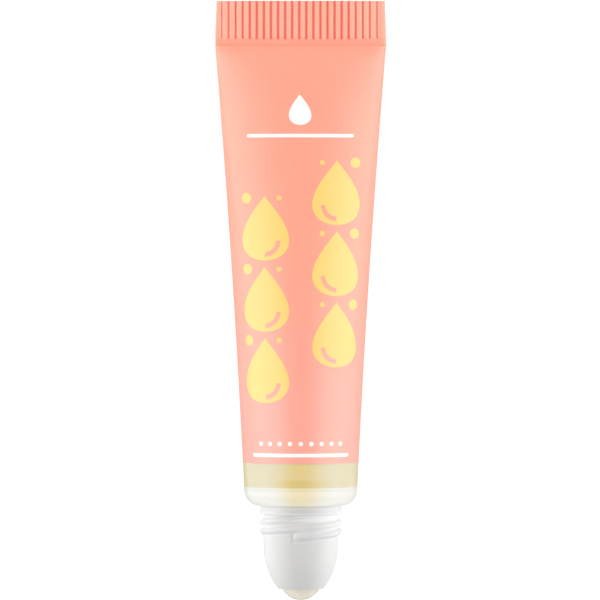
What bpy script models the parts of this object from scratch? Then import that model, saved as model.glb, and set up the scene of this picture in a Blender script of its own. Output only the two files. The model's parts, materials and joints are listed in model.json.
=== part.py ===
"""A nail oil rollerball: a soft plastic squeeze tube with a threaded roller-ball tip.

The tube lies on its back on z = 0, seal towards +Y and ball towards -Y, with its width along X.
Every piece is built round the tube's own axis, which is the local Y axis of the empty tube_axis.
A place along that axis is called a station: 0 is the sleeve's round lower end, positive stations
run up to the seal and negative ones down to the ball.
"""

import math

import bmesh
import bpy
import numpy as np
from mathutils import Vector

MM = 0.001

# Sleeve: a round tube of soft plastic that is pressed flat and sealed at its far end
TUBE_DIAMETER = 16.0 * MM
SLEEVE_WALL = 0.45 * MM
BODY_LENGTH = 62.8 * MM
PLAIN_BAND_LENGTH = 0.9 * MM
SEAL_THICKNESS = 1.0 * MM
SEAL_END_NARROWING = 0.17 * MM
SERRATION_LENGTH = 5.4 * MM
GROOVE_PITCH = 1.0 * MM
GROOVE_WIDTH = 0.36 * MM
GROOVE_DEPTH = 0.2 * MM
RESTING_FLAT_DEPTH = 0.15 * MM

# Head: the moulded shoulder that closes the sleeve, with a spigot for the roller housing
SHOULDER_HEIGHT = 2.25 * MM
SHOULDER_WALL = 1.1 * MM
SHOULDER_LEDGE = 0.3 * MM
SKIRT_HEIGHT = 0.4 * MM
SKIRT_WALL = 0.8 * MM
SPIGOT_LENGTH = 4.0 * MM
SPIGOT_WALL = 1.05 * MM
SNAP_BEAD_HEIGHT = 0.2 * MM
SNAP_BEAD_LENGTH = 0.9 * MM

# Roller housing: threaded collar and domed nose in one moulding
COLLAR_DIAMETER = 10.54 * MM
COLLAR_LENGTH = 5.63 * MM
COLLAR_WALL = 0.87 * MM
FLANGE_LENGTH = 1.15 * MM
DOME_RISE = 7.73 * MM
LIP_WALL = 0.47 * MM
THREAD_HEIGHT = 0.53 * MM
THREAD_LEAD = 2.6 * MM
THREAD_ROOT_WIDTH = 0.8 * MM
THREAD_CREST_WIDTH = 0.34 * MM
THREAD_START_DROP = 4.4 * MM
THREAD_OVERLAP = 0.15 * MM
STOP_RIB_LENGTH = 0.7 * MM
STOP_RIB_WIDTH = 0.4 * MM
STOP_RIB_HEIGHT = 0.22 * MM

# Ball and the seat behind it
BALL_DIAMETER = 6.0 * MM
BALL_PROUD = 1.64 * MM
BALL_CLEARANCE = 0.05 * MM
SEAT_STEP = 0.25 * MM
SEAT_RIM_WIDTH = 0.7 * MM
SEAT_WALL = 0.8 * MM
SEAT_FLANGE_THICKNESS = 0.6 * MM
SEAT_HOLE_DIAMETER = 2.4 * MM
FEED_SLOT_WIDTH = 0.8 * MM
FEED_SLOT_DEPTH = 1.5 * MM

# Between pieces that are pressed or welded together, between the oil and its walls, past a cut
SEAM_GAP = 0.05 * MM
OIL_GAP = 0.1 * MM
CUT_OVERRUN = 0.5 * MM

# Shares of the sleeve's own sizes
SEAL_WIDTH_SHARE = 0.99
STRAIGHT_WIDENING_SHARE = 0.73
CAVITY_END_SHARE = 0.98
OIL_END_SHARE = 0.93
RESTING_STATION_SHARE = 0.36

# Exponents of the sleeve's shape
SIDE_TAPER_POWER = 0.47
ROUND_SECTION_POWER = 2.0
SEAL_SECTION_POWER = 12.0
FLATTENING_POWER = 14.0

# Facets
ROUND_STEPS = 48
SEAT_STEPS = 32
BALL_SEGMENTS = 32
BALL_RINGS = 16
BODY_STATIONS = 20
CAVITY_STATIONS = 12
DOME_STATIONS = 10
CORNER_STATIONS = 5
CUP_STATIONS = 6
SOCKET_STATIONS = 6

# Thread
THREAD_STARTS = 2
THREAD_START_ANGLE = math.radians(102)

MERGE_DISTANCE = 0.001 * MM

# Finishes: colour, roughness
CORAL_PRINT = ((0.99, 0.40, 0.28), 0.35)
NATURAL_PLASTIC = ((0.93, 0.92, 0.86), 0.4)
WHITE_PLASTIC = ((0.86, 0.86, 0.86), 0.35)
SEAT_PLASTIC = ((0.9, 0.9, 0.88), 0.45)
BALL_PLASTIC = ((0.78, 0.7, 0.56), 0.25)
OIL = ((0.88, 0.72, 0.28), 0.1)

# Radii and stations that more than one piece is built from
TUBE_RADIUS = TUBE_DIAMETER / 2
SEAL_HALF_WIDTH = (TUBE_DIAMETER - SLEEVE_WALL) * math.pi / 4 * SEAL_WIDTH_SHARE
SEAL_HALF_THICKNESS = SEAL_THICKNESS / 2
SEAL_LENGTH = PLAIN_BAND_LENGTH + SERRATION_LENGTH
SLEEVE_LENGTH = BODY_LENGTH + SEAL_LENGTH
SKIRT_RADIUS = TUBE_RADIUS - SLEEVE_WALL - SEAM_GAP
COLLAR_RADIUS = COLLAR_DIAMETER / 2
CREST_RADIUS = COLLAR_RADIUS + THREAD_HEIGHT
LEDGE_RADIUS = CREST_RADIUS + SHOULDER_LEDGE
SOCKET_HOLE_RADIUS = COLLAR_RADIUS - COLLAR_WALL
SPIGOT_RADIUS = SOCKET_HOLE_RADIUS - SEAM_GAP
SPIGOT_BORE_RADIUS = SPIGOT_RADIUS - SPIGOT_WALL
HEAD_END = -SHOULDER_HEIGHT
SPIGOT_END = HEAD_END - SPIGOT_LENGTH
BEAD_STATION = HEAD_END - SPIGOT_LENGTH / 2
COLLAR_FOOT = HEAD_END - SEAM_GAP
FLANGE_END = COLLAR_FOOT - FLANGE_LENGTH
DOME_BASE = COLLAR_FOOT - COLLAR_LENGTH
BALL_RADIUS = BALL_DIAMETER / 2
SOCKET_RADIUS = BALL_RADIUS + BALL_CLEARANCE
LIP_DROP = BALL_RADIUS - BALL_PROUD
LIP_RADIUS = math.sqrt(SOCKET_RADIUS**2 - LIP_DROP**2)
RIM_RADIUS = LIP_RADIUS + LIP_WALL
RIM_STATION = DOME_BASE - DOME_RISE * math.sqrt(1 - (RIM_RADIUS / COLLAR_RADIUS) ** 2)
BALL_STATION = RIM_STATION + LIP_DROP
SEAT_RADIUS = SOCKET_RADIUS + SEAT_STEP
SEAT_BORE_RADIUS = SEAT_RADIUS + SEAM_GAP
CUP_RIM_RADIUS = SEAT_RADIUS - SEAT_RIM_WIDTH
CUP_RIM_STATION = BALL_STATION + math.sqrt(SOCKET_RADIUS**2 - CUP_RIM_RADIUS**2)
SEAT_FLANGE_TOP = SPIGOT_END - SEAM_GAP
SEAT_FLANGE_FACE = SEAT_FLANGE_TOP - SEAT_FLANGE_THICKNESS


def clear_scene():
    for obj in list(bpy.data.objects):
        bpy.data.objects.remove(obj, do_unlink=True)


def finish(name, colour_and_roughness):
    colour, roughness = colour_and_roughness
    material = bpy.data.materials.new(name)
    material.use_nodes = True
    shader = material.node_tree.nodes["Principled BSDF"]
    shader.inputs["Base Color"].default_value = (*colour, 1)
    shader.inputs["Roughness"].default_value = roughness
    shader.inputs["Metallic"].default_value = 0
    return material


def add_object(name, bm, parent, material=None):
    """Puts the mesh into a smooth-shaded object on the tube's axis, with its faces turned outwards."""
    bmesh.ops.remove_doubles(bm, verts=bm.verts, dist=MERGE_DISTANCE)
    bmesh.ops.recalc_face_normals(bm, faces=bm.faces)
    mesh = bpy.data.meshes.new(name)
    bm.to_mesh(mesh)
    bm.free()
    mesh.shade_smooth()
    mesh.set_sharp_from_angle(angle=math.radians(35))
    obj = bpy.data.objects.new(name, mesh)
    bpy.context.scene.collection.objects.link(obj)
    obj.parent = parent
    if material:
        mesh.materials.append(material)
    return obj


def add_tool(name, bm, parent):
    """A cutter or a shape to join, which isn't a piece itself."""
    tool = add_object(name, bm, parent)
    tool.hide_render = True
    tool.display_type = "WIRE"
    return tool


def boolean(obj, operation, tool):
    modifier = obj.modifiers.new(operation.title() + " " + tool.name, "BOOLEAN")
    modifier.operation = operation
    modifier.solver = "EXACT"
    modifier.object = tool


def skin(rings):
    """Joins rings of as many points each into one closed skin, with a flat cap on the first and the last."""
    bm = bmesh.new()
    loops = [[bm.verts.new(point) for point in ring] for ring in rings]
    for low, high in zip(loops, loops[1:]):
        for i in range(len(low)):
            j = (i + 1) % len(low)
            bm.faces.new((low[i], low[j], high[j], high[i]))
    bm.faces.new(loops[0])
    bm.faces.new(loops[-1])
    return bm


def turned(profile, steps):
    """Spins a closed outline of (radius, station) points once round the tube's axis."""
    bm = bmesh.new()
    corners = [bm.verts.new((radius, station, 0)) for radius, station in profile]
    edges = [bm.edges.new((a, b)) for a, b in zip(corners, corners[1:] + corners[:1])]
    bmesh.ops.spin(bm, geom=corners + edges, cent=(0, 0, 0), axis=(0, 1, 0), dvec=(0, 0, 0),
                   angle=2 * math.pi, steps=steps, use_merge=True, use_duplicate=False)
    return bm


def arc(centre_station, centre_radius, radial_size, axial_size, start, end, count):
    """Points on an elliptic arc in the turning plane; the angles run from the radial direction."""
    angles = np.linspace(start, end, count)
    return [(centre_radius + radial_size * math.cos(a), centre_station + axial_size * math.sin(a))
            for a in angles]


# Sleeve


def half_width(share):
    """Half the sleeve's width at a share of the way from its round end to the fold of the seal."""
    widening = STRAIGHT_WIDENING_SHARE * share + (1 - STRAIGHT_WIDENING_SHARE) * share**2
    return TUBE_RADIUS + (SEAL_HALF_WIDTH - TUBE_RADIUS) * widening


def half_thickness(share):
    """Half the sleeve's thickness there: the flatter it is pressed, the faster it thins."""
    return SEAL_HALF_THICKNESS + (TUBE_RADIUS - SEAL_HALF_THICKNESS) * (1 - share) ** SIDE_TAPER_POWER


def section_power(share):
    """2 gives an ellipse, and a high power the flat bar with round edges of the seal."""
    return ROUND_SECTION_POWER + (SEAL_SECTION_POWER - ROUND_SECTION_POWER) * share**FLATTENING_POWER


def section(station, width, thickness, power=ROUND_SECTION_POWER):
    """A ring of the sleeve: thickness falls off across the width as a superellipse."""
    angles = np.arange(ROUND_STEPS) * 2 * math.pi / ROUND_STEPS
    across = np.cos(angles)
    rise = np.sign(np.round(np.sin(angles), 9)) * (1 - np.abs(across) ** power) ** (1 / power)
    return [Vector((width * x, station, thickness * z)) for x, z in zip(across, rise)]


def body_shares(count, end=1.0):
    """Shares along the sleeve, closer together towards the seal, where it thins fastest."""
    steps = np.linspace(0, 1, count)
    return end * (1 - (1 - steps) ** 2)


def body_rings(shares, inset):
    return [section(share * BODY_LENGTH, half_width(share) - inset, half_thickness(share) - inset,
                    section_power(share)) for share in shares]


def groove_cutter(parent):
    """Wedges that press the seal's fine lines into both of its faces."""
    bm = bmesh.new()
    count = int(2 * SEAL_HALF_WIDTH / GROOVE_PITCH)
    low = SLEEVE_LENGTH - SERRATION_LENGTH
    high = SLEEVE_LENGTH + CUT_OVERRUN
    for index in range(count):
        middle = (index - (count - 1) / 2) * GROOVE_PITCH
        for side in (1, -1):
            surface = side * SEAL_HALF_THICKNESS
            depth = surface - side * GROOVE_DEPTH
            outside = surface + side * CUT_OVERRUN
            outline = ((middle - GROOVE_WIDTH / 2, outside), (middle - GROOVE_WIDTH / 2, surface),
                       (middle, depth), (middle + GROOVE_WIDTH / 2, surface),
                       (middle + GROOVE_WIDTH / 2, outside))
            face = bm.faces.new([bm.verts.new((x, low, z)) for x, z in outline])
            moved = bmesh.ops.extrude_face_region(bm, geom=[face])["geom"]
            moved = [item for item in moved if isinstance(item, bmesh.types.BMVert)]
            bmesh.ops.translate(bm, verts=moved, vec=(0, high - low, 0))
    return add_tool("groove_cutter", bm, parent)


def resting_cutter():
    """A slab under z = 0, which presses the sleeve's soft back flat where it lies on the table."""
    bm = bmesh.new()
    bmesh.ops.create_cube(bm, size=1)
    depth = 2 * (RESTING_FLAT_DEPTH + CUT_OVERRUN)
    bmesh.ops.scale(bm, verts=bm.verts, vec=(2 * TUBE_DIAMETER, SLEEVE_LENGTH, depth))
    bmesh.ops.translate(bm, verts=bm.verts, vec=(0, 0, -depth / 2))
    return add_tool("resting_cutter", bm, None)


def make_sleeve(parent):
    inner = body_rings(body_shares(CAVITY_STATIONS, CAVITY_END_SHARE), SLEEVE_WALL)
    outer = body_rings(body_shares(BODY_STATIONS), 0)
    seal = [section(station, SEAL_HALF_WIDTH - narrowing, SEAL_HALF_THICKNESS, SEAL_SECTION_POWER)
            for station, narrowing in ((SLEEVE_LENGTH - SERRATION_LENGTH, 0),
                                       (SLEEVE_LENGTH, SEAL_END_NARROWING))]
    sleeve = add_object("tube_sleeve", skin(inner[::-1] + outer + seal), parent,
                        finish("coral print", CORAL_PRINT))
    boolean(sleeve, "DIFFERENCE", groove_cutter(parent))
    boolean(sleeve, "DIFFERENCE", resting_cutter())


# Head


def make_head(parent):
    """Skirt inside the sleeve, rounded shoulder, and the spigot with its snap bead."""
    corner = arc(-SEAM_GAP, LEDGE_RADIUS, TUBE_RADIUS - LEDGE_RADIUS, SHOULDER_HEIGHT - SEAM_GAP,
                 0, -math.pi / 2, CORNER_STATIONS)
    inner_radius = SKIRT_RADIUS - SKIRT_WALL
    inner_corner = arc(-SEAM_GAP, LEDGE_RADIUS, inner_radius - LEDGE_RADIUS,
                       SHOULDER_HEIGHT - SHOULDER_WALL - SEAM_GAP, -math.pi / 2, 0, CORNER_STATIONS)
    half_bead = SNAP_BEAD_LENGTH / 2
    profile = [(SKIRT_RADIUS, SKIRT_HEIGHT), (SKIRT_RADIUS, -SEAM_GAP)]
    profile += corner
    profile += [(SPIGOT_RADIUS, HEAD_END), (SPIGOT_RADIUS, BEAD_STATION + half_bead),
                (SPIGOT_RADIUS + SNAP_BEAD_HEIGHT, BEAD_STATION),
                (SPIGOT_RADIUS, BEAD_STATION - half_bead), (SPIGOT_RADIUS, SPIGOT_END),
                (SPIGOT_BORE_RADIUS, SPIGOT_END), (SPIGOT_BORE_RADIUS, HEAD_END + SHOULDER_WALL)]
    profile += inner_corner
    profile += [(inner_radius, SKIRT_HEIGHT)]
    add_object("tube_head", turned(profile, ROUND_STEPS), parent,
               finish("natural plastic", NATURAL_PLASTIC))


# Roller housing


def thread_ridge(bm, start_angle):
    """One start of the thread: a tapered ridge that climbs from a blunt end up to the flange."""
    start = COLLAR_FOOT - THREAD_START_DROP
    climb = FLANGE_END - THREAD_ROOT_WIDTH / 2 - THREAD_OVERLAP - start
    steps = max(1, round(climb / THREAD_LEAD * ROUND_STEPS))
    root_radius = COLLAR_RADIUS - THREAD_OVERLAP
    fading_steps = ROUND_STEPS / 8
    rings = []
    for step in range(steps + 1):
        angle = start_angle - 2 * math.pi * step / ROUND_STEPS
        station = start + climb * step / steps
        crest = root_radius + (CREST_RADIUS - root_radius) * min(1, (steps - step + 1) / fading_steps)
        outline = ((root_radius, -THREAD_ROOT_WIDTH), (crest, -THREAD_CREST_WIDTH),
                   (crest, THREAD_CREST_WIDTH), (root_radius, THREAD_ROOT_WIDTH))
        rings.append([bm.verts.new((r * math.cos(angle), station + width / 2, r * math.sin(angle)))
                      for r, width in outline])
    for low, high in zip(rings, rings[1:]):
        for i in range(len(low)):
            j = (i + 1) % len(low)
            bm.faces.new((low[i], low[j], high[j], high[i]))
    bm.faces.new(rings[0])
    bm.faces.new(rings[-1])


def stop_rib(bm, angle):
    """A short upright rib at the thread's blunt end, which stops the cap."""
    low = max(COLLAR_FOOT - THREAD_START_DROP - STOP_RIB_LENGTH, DOME_BASE)
    high = COLLAR_FOOT - THREAD_START_DROP
    inner = COLLAR_RADIUS - THREAD_OVERLAP
    outer = COLLAR_RADIUS + STOP_RIB_HEIGHT
    outward = Vector((math.cos(angle), 0, math.sin(angle)))
    along = Vector((-math.sin(angle), 0, math.cos(angle))) * STOP_RIB_WIDTH / 2
    corners = [outward * inner - along, outward * outer - along,
               outward * outer + along, outward * inner + along]
    face = bm.faces.new([bm.verts.new(corner + Vector((0, low, 0))) for corner in corners])
    moved = bmesh.ops.extrude_face_region(bm, geom=[face])["geom"]
    moved = [item for item in moved if isinstance(item, bmesh.types.BMVert)]
    bmesh.ops.translate(bm, verts=moved, vec=(0, high - low, 0))


def thread_tools(parent):
    ridges = bmesh.new()
    ribs = bmesh.new()
    for start in range(THREAD_STARTS):
        angle = THREAD_START_ANGLE + 2 * math.pi * start / THREAD_STARTS
        thread_ridge(ridges, angle)
        stop_rib(ribs, angle + STOP_RIB_WIDTH / CREST_RADIUS)
    return add_tool("thread_ridges", ridges, parent), add_tool("stop_ribs", ribs, parent)


def make_housing(parent):
    """Collar over the spigot, flange, dome with its lip, and the socket that traps the ball."""
    dome_end = math.acos(RIM_RADIUS / COLLAR_RADIUS)
    dome = arc(DOME_BASE, 0, COLLAR_RADIUS, DOME_RISE, 0, -dome_end, DOME_STATIONS)
    lip_angle = math.asin(LIP_DROP / SOCKET_RADIUS)
    socket = arc(BALL_STATION, 0, SOCKET_RADIUS, SOCKET_RADIUS, -lip_angle, 0, SOCKET_STATIONS)
    step = CUP_RIM_STATION - SEAM_GAP
    hole_end = SEAT_FLANGE_FACE - SEAM_GAP
    half_groove = SNAP_BEAD_LENGTH / 2 + SEAM_GAP
    profile = [(CREST_RADIUS, COLLAR_FOOT), (CREST_RADIUS, FLANGE_END), (COLLAR_RADIUS, FLANGE_END)]
    profile += dome
    profile += socket
    profile += [(SOCKET_RADIUS, step), (SEAT_BORE_RADIUS, step), (SEAT_BORE_RADIUS, hole_end),
                (SOCKET_HOLE_RADIUS, hole_end), (SOCKET_HOLE_RADIUS, BEAD_STATION - half_groove),
                (SOCKET_HOLE_RADIUS + SNAP_BEAD_HEIGHT, BEAD_STATION),
                (SOCKET_HOLE_RADIUS, BEAD_STATION + half_groove), (SOCKET_HOLE_RADIUS, COLLAR_FOOT)]
    housing = add_object("roller_housing", turned(profile, ROUND_STEPS), parent,
                         finish("white plastic", WHITE_PLASTIC))
    for tool in thread_tools(parent):
        boolean(housing, "UNION", tool)


# Ball and its seat


def slot_cutter(parent, name, turn):
    """A bar across the seat's cup, which leaves a feed slot on each side of the ball."""
    bm = bmesh.new()
    low = CUP_RIM_STATION - CUT_OVERRUN
    high = CUP_RIM_STATION + FEED_SLOT_DEPTH
    bmesh.ops.create_cube(bm, size=1)
    size = (2 * (SEAT_RADIUS + CUT_OVERRUN), high - low, FEED_SLOT_WIDTH)
    bmesh.ops.scale(bm, verts=bm.verts, vec=size)
    bmesh.ops.translate(bm, verts=bm.verts, vec=(0, (low + high) / 2, 0))
    for vert in bm.verts:
        x, z = vert.co.x, vert.co.z
        vert.co.x = x * math.cos(turn) - z * math.sin(turn)
        vert.co.z = x * math.sin(turn) + z * math.cos(turn)
    return add_tool(name, bm, parent)


def make_seat(parent):
    """A cup that holds the ball against the lip, with a flange that the spigot's end traps."""
    hole = SEAT_HOLE_DIAMETER / 2
    rim_angle = math.acos(CUP_RIM_RADIUS / SOCKET_RADIUS)
    hole_angle = math.acos(hole / SOCKET_RADIUS)
    cup = arc(BALL_STATION, 0, SOCKET_RADIUS, SOCKET_RADIUS, rim_angle, hole_angle, CUP_STATIONS)
    back = BALL_STATION + SOCKET_RADIUS + SEAT_WALL
    profile = [(SOCKET_HOLE_RADIUS - SEAM_GAP, SEAT_FLANGE_TOP),
               (SOCKET_HOLE_RADIUS - SEAM_GAP, SEAT_FLANGE_FACE), (SEAT_RADIUS, SEAT_FLANGE_FACE),
               (SEAT_RADIUS, CUP_RIM_STATION)]
    profile += cup
    profile += [(hole, back), (SEAT_RADIUS - SEAT_WALL, back),
                (SEAT_RADIUS - SEAT_WALL, SEAT_FLANGE_TOP)]
    seat = add_object("ball_seat", turned(profile, SEAT_STEPS), parent,
                      finish("seat plastic", SEAT_PLASTIC))
    boolean(seat, "DIFFERENCE", slot_cutter(parent, "slot_cutter_across", 0))
    boolean(seat, "DIFFERENCE", slot_cutter(parent, "slot_cutter_upright", math.pi / 2))


def make_ball(parent):
    """The ball's origin is its centre, which is on the roll axis."""
    bm = bmesh.new()
    bmesh.ops.create_uvsphere(bm, u_segments=BALL_SEGMENTS, v_segments=BALL_RINGS, radius=BALL_RADIUS)
    ball = add_object("roller_ball", bm, parent, finish("ball plastic", BALL_PLASTIC))
    ball.location = (0, BALL_STATION, 0)


# Oil


def make_oil(parent):
    """The oil fills the spigot, the hollow shoulder and the sleeve, up to the air below the seal."""
    bore = SPIGOT_BORE_RADIUS - OIL_GAP
    floor = HEAD_END + SHOULDER_WALL + OIL_GAP
    skirt = SKIRT_RADIUS - SKIRT_WALL - OIL_GAP
    corner = arc(-SEAM_GAP, LEDGE_RADIUS, skirt - LEDGE_RADIUS, -SEAM_GAP - floor,
                 -math.pi / 2, 0, CORNER_STATIONS)
    stations = [(bore, SPIGOT_END), (bore, floor)] + corner
    stations += [(skirt, SKIRT_HEIGHT + OIL_GAP)]
    head_rings = [section(station, radius, radius) for radius, station in stations]
    inset = SLEEVE_WALL + OIL_GAP
    shares = body_shares(CAVITY_STATIONS, OIL_END_SHARE)
    shares[0] = (SKIRT_HEIGHT + OIL_GAP) / BODY_LENGTH
    add_object("oil_fill", skin(head_rings + body_rings(shares, inset)), parent, finish("oil", OIL))


# The whole


def tube_axis():
    """The empty that carries every piece, tilted and lifted so that the sleeve's back rests on z = 0."""
    shares = body_shares(BODY_STATIONS)
    stations = shares * BODY_LENGTH
    backs = half_thickness(shares)
    rest = int(np.searchsorted(shares, RESTING_STATION_SHARE))
    tilt = math.atan2(backs[rest - 1] - backs[rest], stations[rest] - stations[rest - 1])
    lowest = float(np.max(backs * math.cos(tilt) + stations * math.sin(tilt)))
    front = BALL_STATION * math.cos(tilt) - BALL_RADIUS
    rear = SLEEVE_LENGTH * math.cos(tilt) + SEAL_HALF_THICKNESS * math.sin(tilt)
    axis = bpy.data.objects.new("tube_axis", None)
    axis.location = (0, -(front + rear) / 2, lowest - RESTING_FLAT_DEPTH)
    axis.rotation_euler = (-tilt, 0, 0)
    bpy.context.scene.collection.objects.link(axis)
    return axis


def build():
    clear_scene()
    axis = tube_axis()
    make_sleeve(axis)
    make_head(axis)
    make_housing(axis)
    make_seat(axis)
    make_ball(axis)
    make_oil(axis)


build()
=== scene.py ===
"""Nail oil rollerball: the fine shapes and finishes of a soft plastic tube with a roller-ball tip.

The tube lies on its back on z = 0. Every shape is first worked out round the tube's own axis: x is
across the tube, the station runs along the axis from the sleeve's round end (0) up to the seal, and
down to the ball below 0, and z is up through the printed front. place() then lays it on the table.
"""

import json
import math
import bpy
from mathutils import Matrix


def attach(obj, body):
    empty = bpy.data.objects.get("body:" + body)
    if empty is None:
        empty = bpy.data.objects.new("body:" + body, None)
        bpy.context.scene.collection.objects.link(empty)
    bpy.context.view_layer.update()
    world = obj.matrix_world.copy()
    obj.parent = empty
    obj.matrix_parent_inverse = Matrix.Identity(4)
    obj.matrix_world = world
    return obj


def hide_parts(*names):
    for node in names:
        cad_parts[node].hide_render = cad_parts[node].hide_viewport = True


bl_info = {
    "name": "Nail oil rollerball",
    "version": (1, 0, 0),
    "blender": (4, 5, 0),
    "location": "View3D > Sidebar > Rollerball",
    "description": "Builds the sleeve, shoulder, roller housing, ball and oil of a squeeze tube",
    "category": "Add Mesh",
}

import bmesh
import bpy
import numpy as np
from mathutils import Matrix, Vector

MM = 0.001
METRES_TO_MM = 1000

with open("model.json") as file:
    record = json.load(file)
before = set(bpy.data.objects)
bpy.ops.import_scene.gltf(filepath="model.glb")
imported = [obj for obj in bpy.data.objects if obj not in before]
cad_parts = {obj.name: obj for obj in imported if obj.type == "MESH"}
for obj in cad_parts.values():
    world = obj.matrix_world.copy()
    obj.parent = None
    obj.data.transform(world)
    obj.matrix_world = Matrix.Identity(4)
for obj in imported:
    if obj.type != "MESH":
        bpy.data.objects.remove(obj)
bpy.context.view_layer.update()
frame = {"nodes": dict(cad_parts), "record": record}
SEAL_END = next(mount for mount in frame["record"]["mounts"] if mount["name"] == "seal_end")
ALONG = np.array(SEAL_END["axis"])
UP = np.array((0, -ALONG[2], ALONG[1]))

MERGE_DISTANCE = 0.0002 * MM
SHARP_ANGLE = math.radians(42)
TURN = 2 * math.pi


# Properties


def length(name, description, millimetres):
    return bpy.props.FloatProperty(name=name, description=description, default=millimetres * MM,
                                   unit="LENGTH", subtype="DISTANCE", precision=5)


def share(name, description, default):
    return bpy.props.FloatProperty(name=name, description=description, default=default,
                                   min=0, max=1, subtype="FACTOR")


def colour(name, description, default):
    return bpy.props.FloatVectorProperty(name=name, description=description, default=default,
                                         size=3, min=0, max=1, subtype="COLOR")


def angle(name, description, degrees):
    return bpy.props.FloatProperty(name=name, description=description, default=math.radians(degrees),
                                   subtype="ANGLE", unit="ROTATION")


def number(name, description, default):
    return bpy.props.FloatProperty(name=name, description=description, default=default)


def count(name, description, default):
    return bpy.props.IntProperty(name=name, description=description, default=default, min=1)


class RollerballSleeveSizes(bpy.types.PropertyGroup):
    diameter: length("Diameter", "Round end of the sleeve", 16.0)
    wall: length("Wall", "Thickness of the sleeve's soft wall", 0.45)
    body_length: length("Body length", "From the round end up to the fold of the seal", 62.8)
    seal_length: length("Seal length", "The flat pressed end", 6.3)
    seal_thickness: length("Seal thickness", "Both walls pressed together", 1.0)
    seal_narrowing: length("Seal narrowing", "How far each side of the seal draws in at its end", 0.17)
    seal_round: length("Seal rounding", "How far the cut end of the seal is rounded", 0.12)
    serration_length: length("Line length", "The pressed lines on the seal", 5.2)
    groove_pitch: length("Line pitch", "From one pressed line to the next", 1.0)
    groove_width: length("Line width", "Width of a pressed line", 0.92)
    groove_depth: length("Line depth", "Depth of a pressed line", 0.17)
    groove_shift: length("Line shift", "How far the lines lie to the right of even spacing", -0.21)
    # The lines' dark ink, partly painted shade, is widest in the middle and thinnest at the sides.
    wide_lines: length("Wide lines", "How far from the middle the ink in the lines is widest", 6.5)
    thin_lines: length("Thin lines", "How far from the middle it is thinnest", 9.0)
    rim_round: length("Rim rounding", "Rounding of the round end's rim", 0.03)
    window_length: length("Window length", "The bare end below the print", 3.82)
    seal_width_share: share("Seal width share", "Of half the wall's girth", 0.99)
    straight_share: share("Straight share", "How much of the widening is straight", 0.73)
    cavity_share: share("Cavity share", "Where the hollow ends, of the body length", 0.98)
    taper_power: number("Side taper power", "How the thickness falls off towards the fold", 0.47)
    round_power: number("Round section power", "2 makes the section an ellipse", 2.0)
    seal_power: number("Seal section power", "A high power makes a flat bar", 12.0)
    flattening_power: number("Flattening power", "How late the section turns into a bar", 150.0)


class RollerballHeadSizes(bpy.types.PropertyGroup):
    shoulder_height: length("Shoulder height", "From the sleeve's rim to the ledge", 2.25)
    shoulder_wall: length("Shoulder wall", "Thickness of the shoulder", 1.1)
    ledge: length("Ledge", "Flat ring round the collar", 0.3)
    skirt_height: length("Skirt height", "How far the skirt reaches into the sleeve", 0.4)
    skirt_wall: length("Skirt wall", "Thickness of the skirt", 0.8)
    spigot_length: length("Spigot length", "Stub that the collar snaps on to", 4.0)
    spigot_wall: length("Spigot wall", "Thickness of the stub", 1.05)
    bead_height: length("Bead height", "Snap bead on the stub", 0.2)
    bead_length: length("Bead length", "Snap bead on the stub", 0.9)
    seam_gap: length("Seam gap", "Between two pieces that are pressed together", 0.05)
    seam_line: length("Seam line", "What is left of that gap at the surface", 0.01)


class RollerballHousingSizes(bpy.types.PropertyGroup):
    collar_diameter: length("Collar diameter", "Root of the thread", 10.54)
    collar_length: length("Collar length", "From the ledge to the foot of the dome", 5.63)
    collar_wall: length("Collar wall", "Thickness round the stub", 0.87)
    flange_length: length("Flange length", "Plain band next to the shoulder", 1.15)
    dome_rise: length("Dome rise", "Height of the whole ellipse that the dome is cut from", 7.73)
    lip_wall: length("Lip wall", "Flat ring round the ball", 0.47)
    lip_round: length("Lip rounding", "Rounding of the lip's edges", 0.16)
    thread_height: length("Thread height", "How far the crest stands out", 0.53)
    thread_lead: length("Thread lead", "Rise in one turn", 2.6)
    thread_root: length("Thread root", "Width of the ridge where it meets the collar", 1.3)
    thread_crest: length("Thread crest", "Width of the ridge's crest", 0.26)
    thread_drop: length("Thread start", "From the ledge to the blunt end of the thread", 4.4)
    thread_climb: length("Thread climb", "From the blunt end to where it runs into the flange", 2.7)
    rib_length: length("Rib length", "Stop rib at the thread's blunt end", 0.7)
    rib_width: length("Rib width", "Stop rib at the thread's blunt end", 0.4)
    rib_height: length("Rib height", "Stop rib at the thread's blunt end", 0.07)
    blunt_end: length("Blunt end", "Over what length the thread rises at its blunt end", 0.4)
    rib_round: length("Rib rounding", "Softness of the stop rib's edges", 0.25)
    edge_round: length("Edge rounding", "Rounding of the moulded edges", 0.1)
    run_out_share: share("Run-out share", "Over what part of a turn the thread runs out", 0.125)
    lip_inset: length("Lip inset", "How far the nose's edge ends inside the lip's ring", 0.02)
    lip_shoulder: length("Lip shoulder", "How far the edge's curve aims inside the dome's end", 0.12)
    lip_flat: length("Lip flat", "Width of the flat beside the ball", 0.1)
    lip_dip: length("Lip dip", "How far that flat lies behind the nose's tip", 0.02)
    # Sizes of the painted light and shade that even out the thread's shading.
    nook_reach: length("Nook reach", "How far off a ridge still shades its neighbour", 0.9)
    foot_reach: length("Foot reach", "How far off one ridge shades the wall", 0.45)
    foot_share: share("Foot share", "How pale the foot of one ridge is painted, next to a nook", 0.7)
    flank_gain: number("Flank gain", "How much paler steep flanks are painted", 0.3)
    nook_corner: length("Nook corner", "How far the ledge shades the flange", 0.6)
    thread_starts: count("Thread starts", "Ridges side by side", 2)
    thread_angle: angle("Thread angle", "Where the first ridge starts, from +X to the front", 102)


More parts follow.
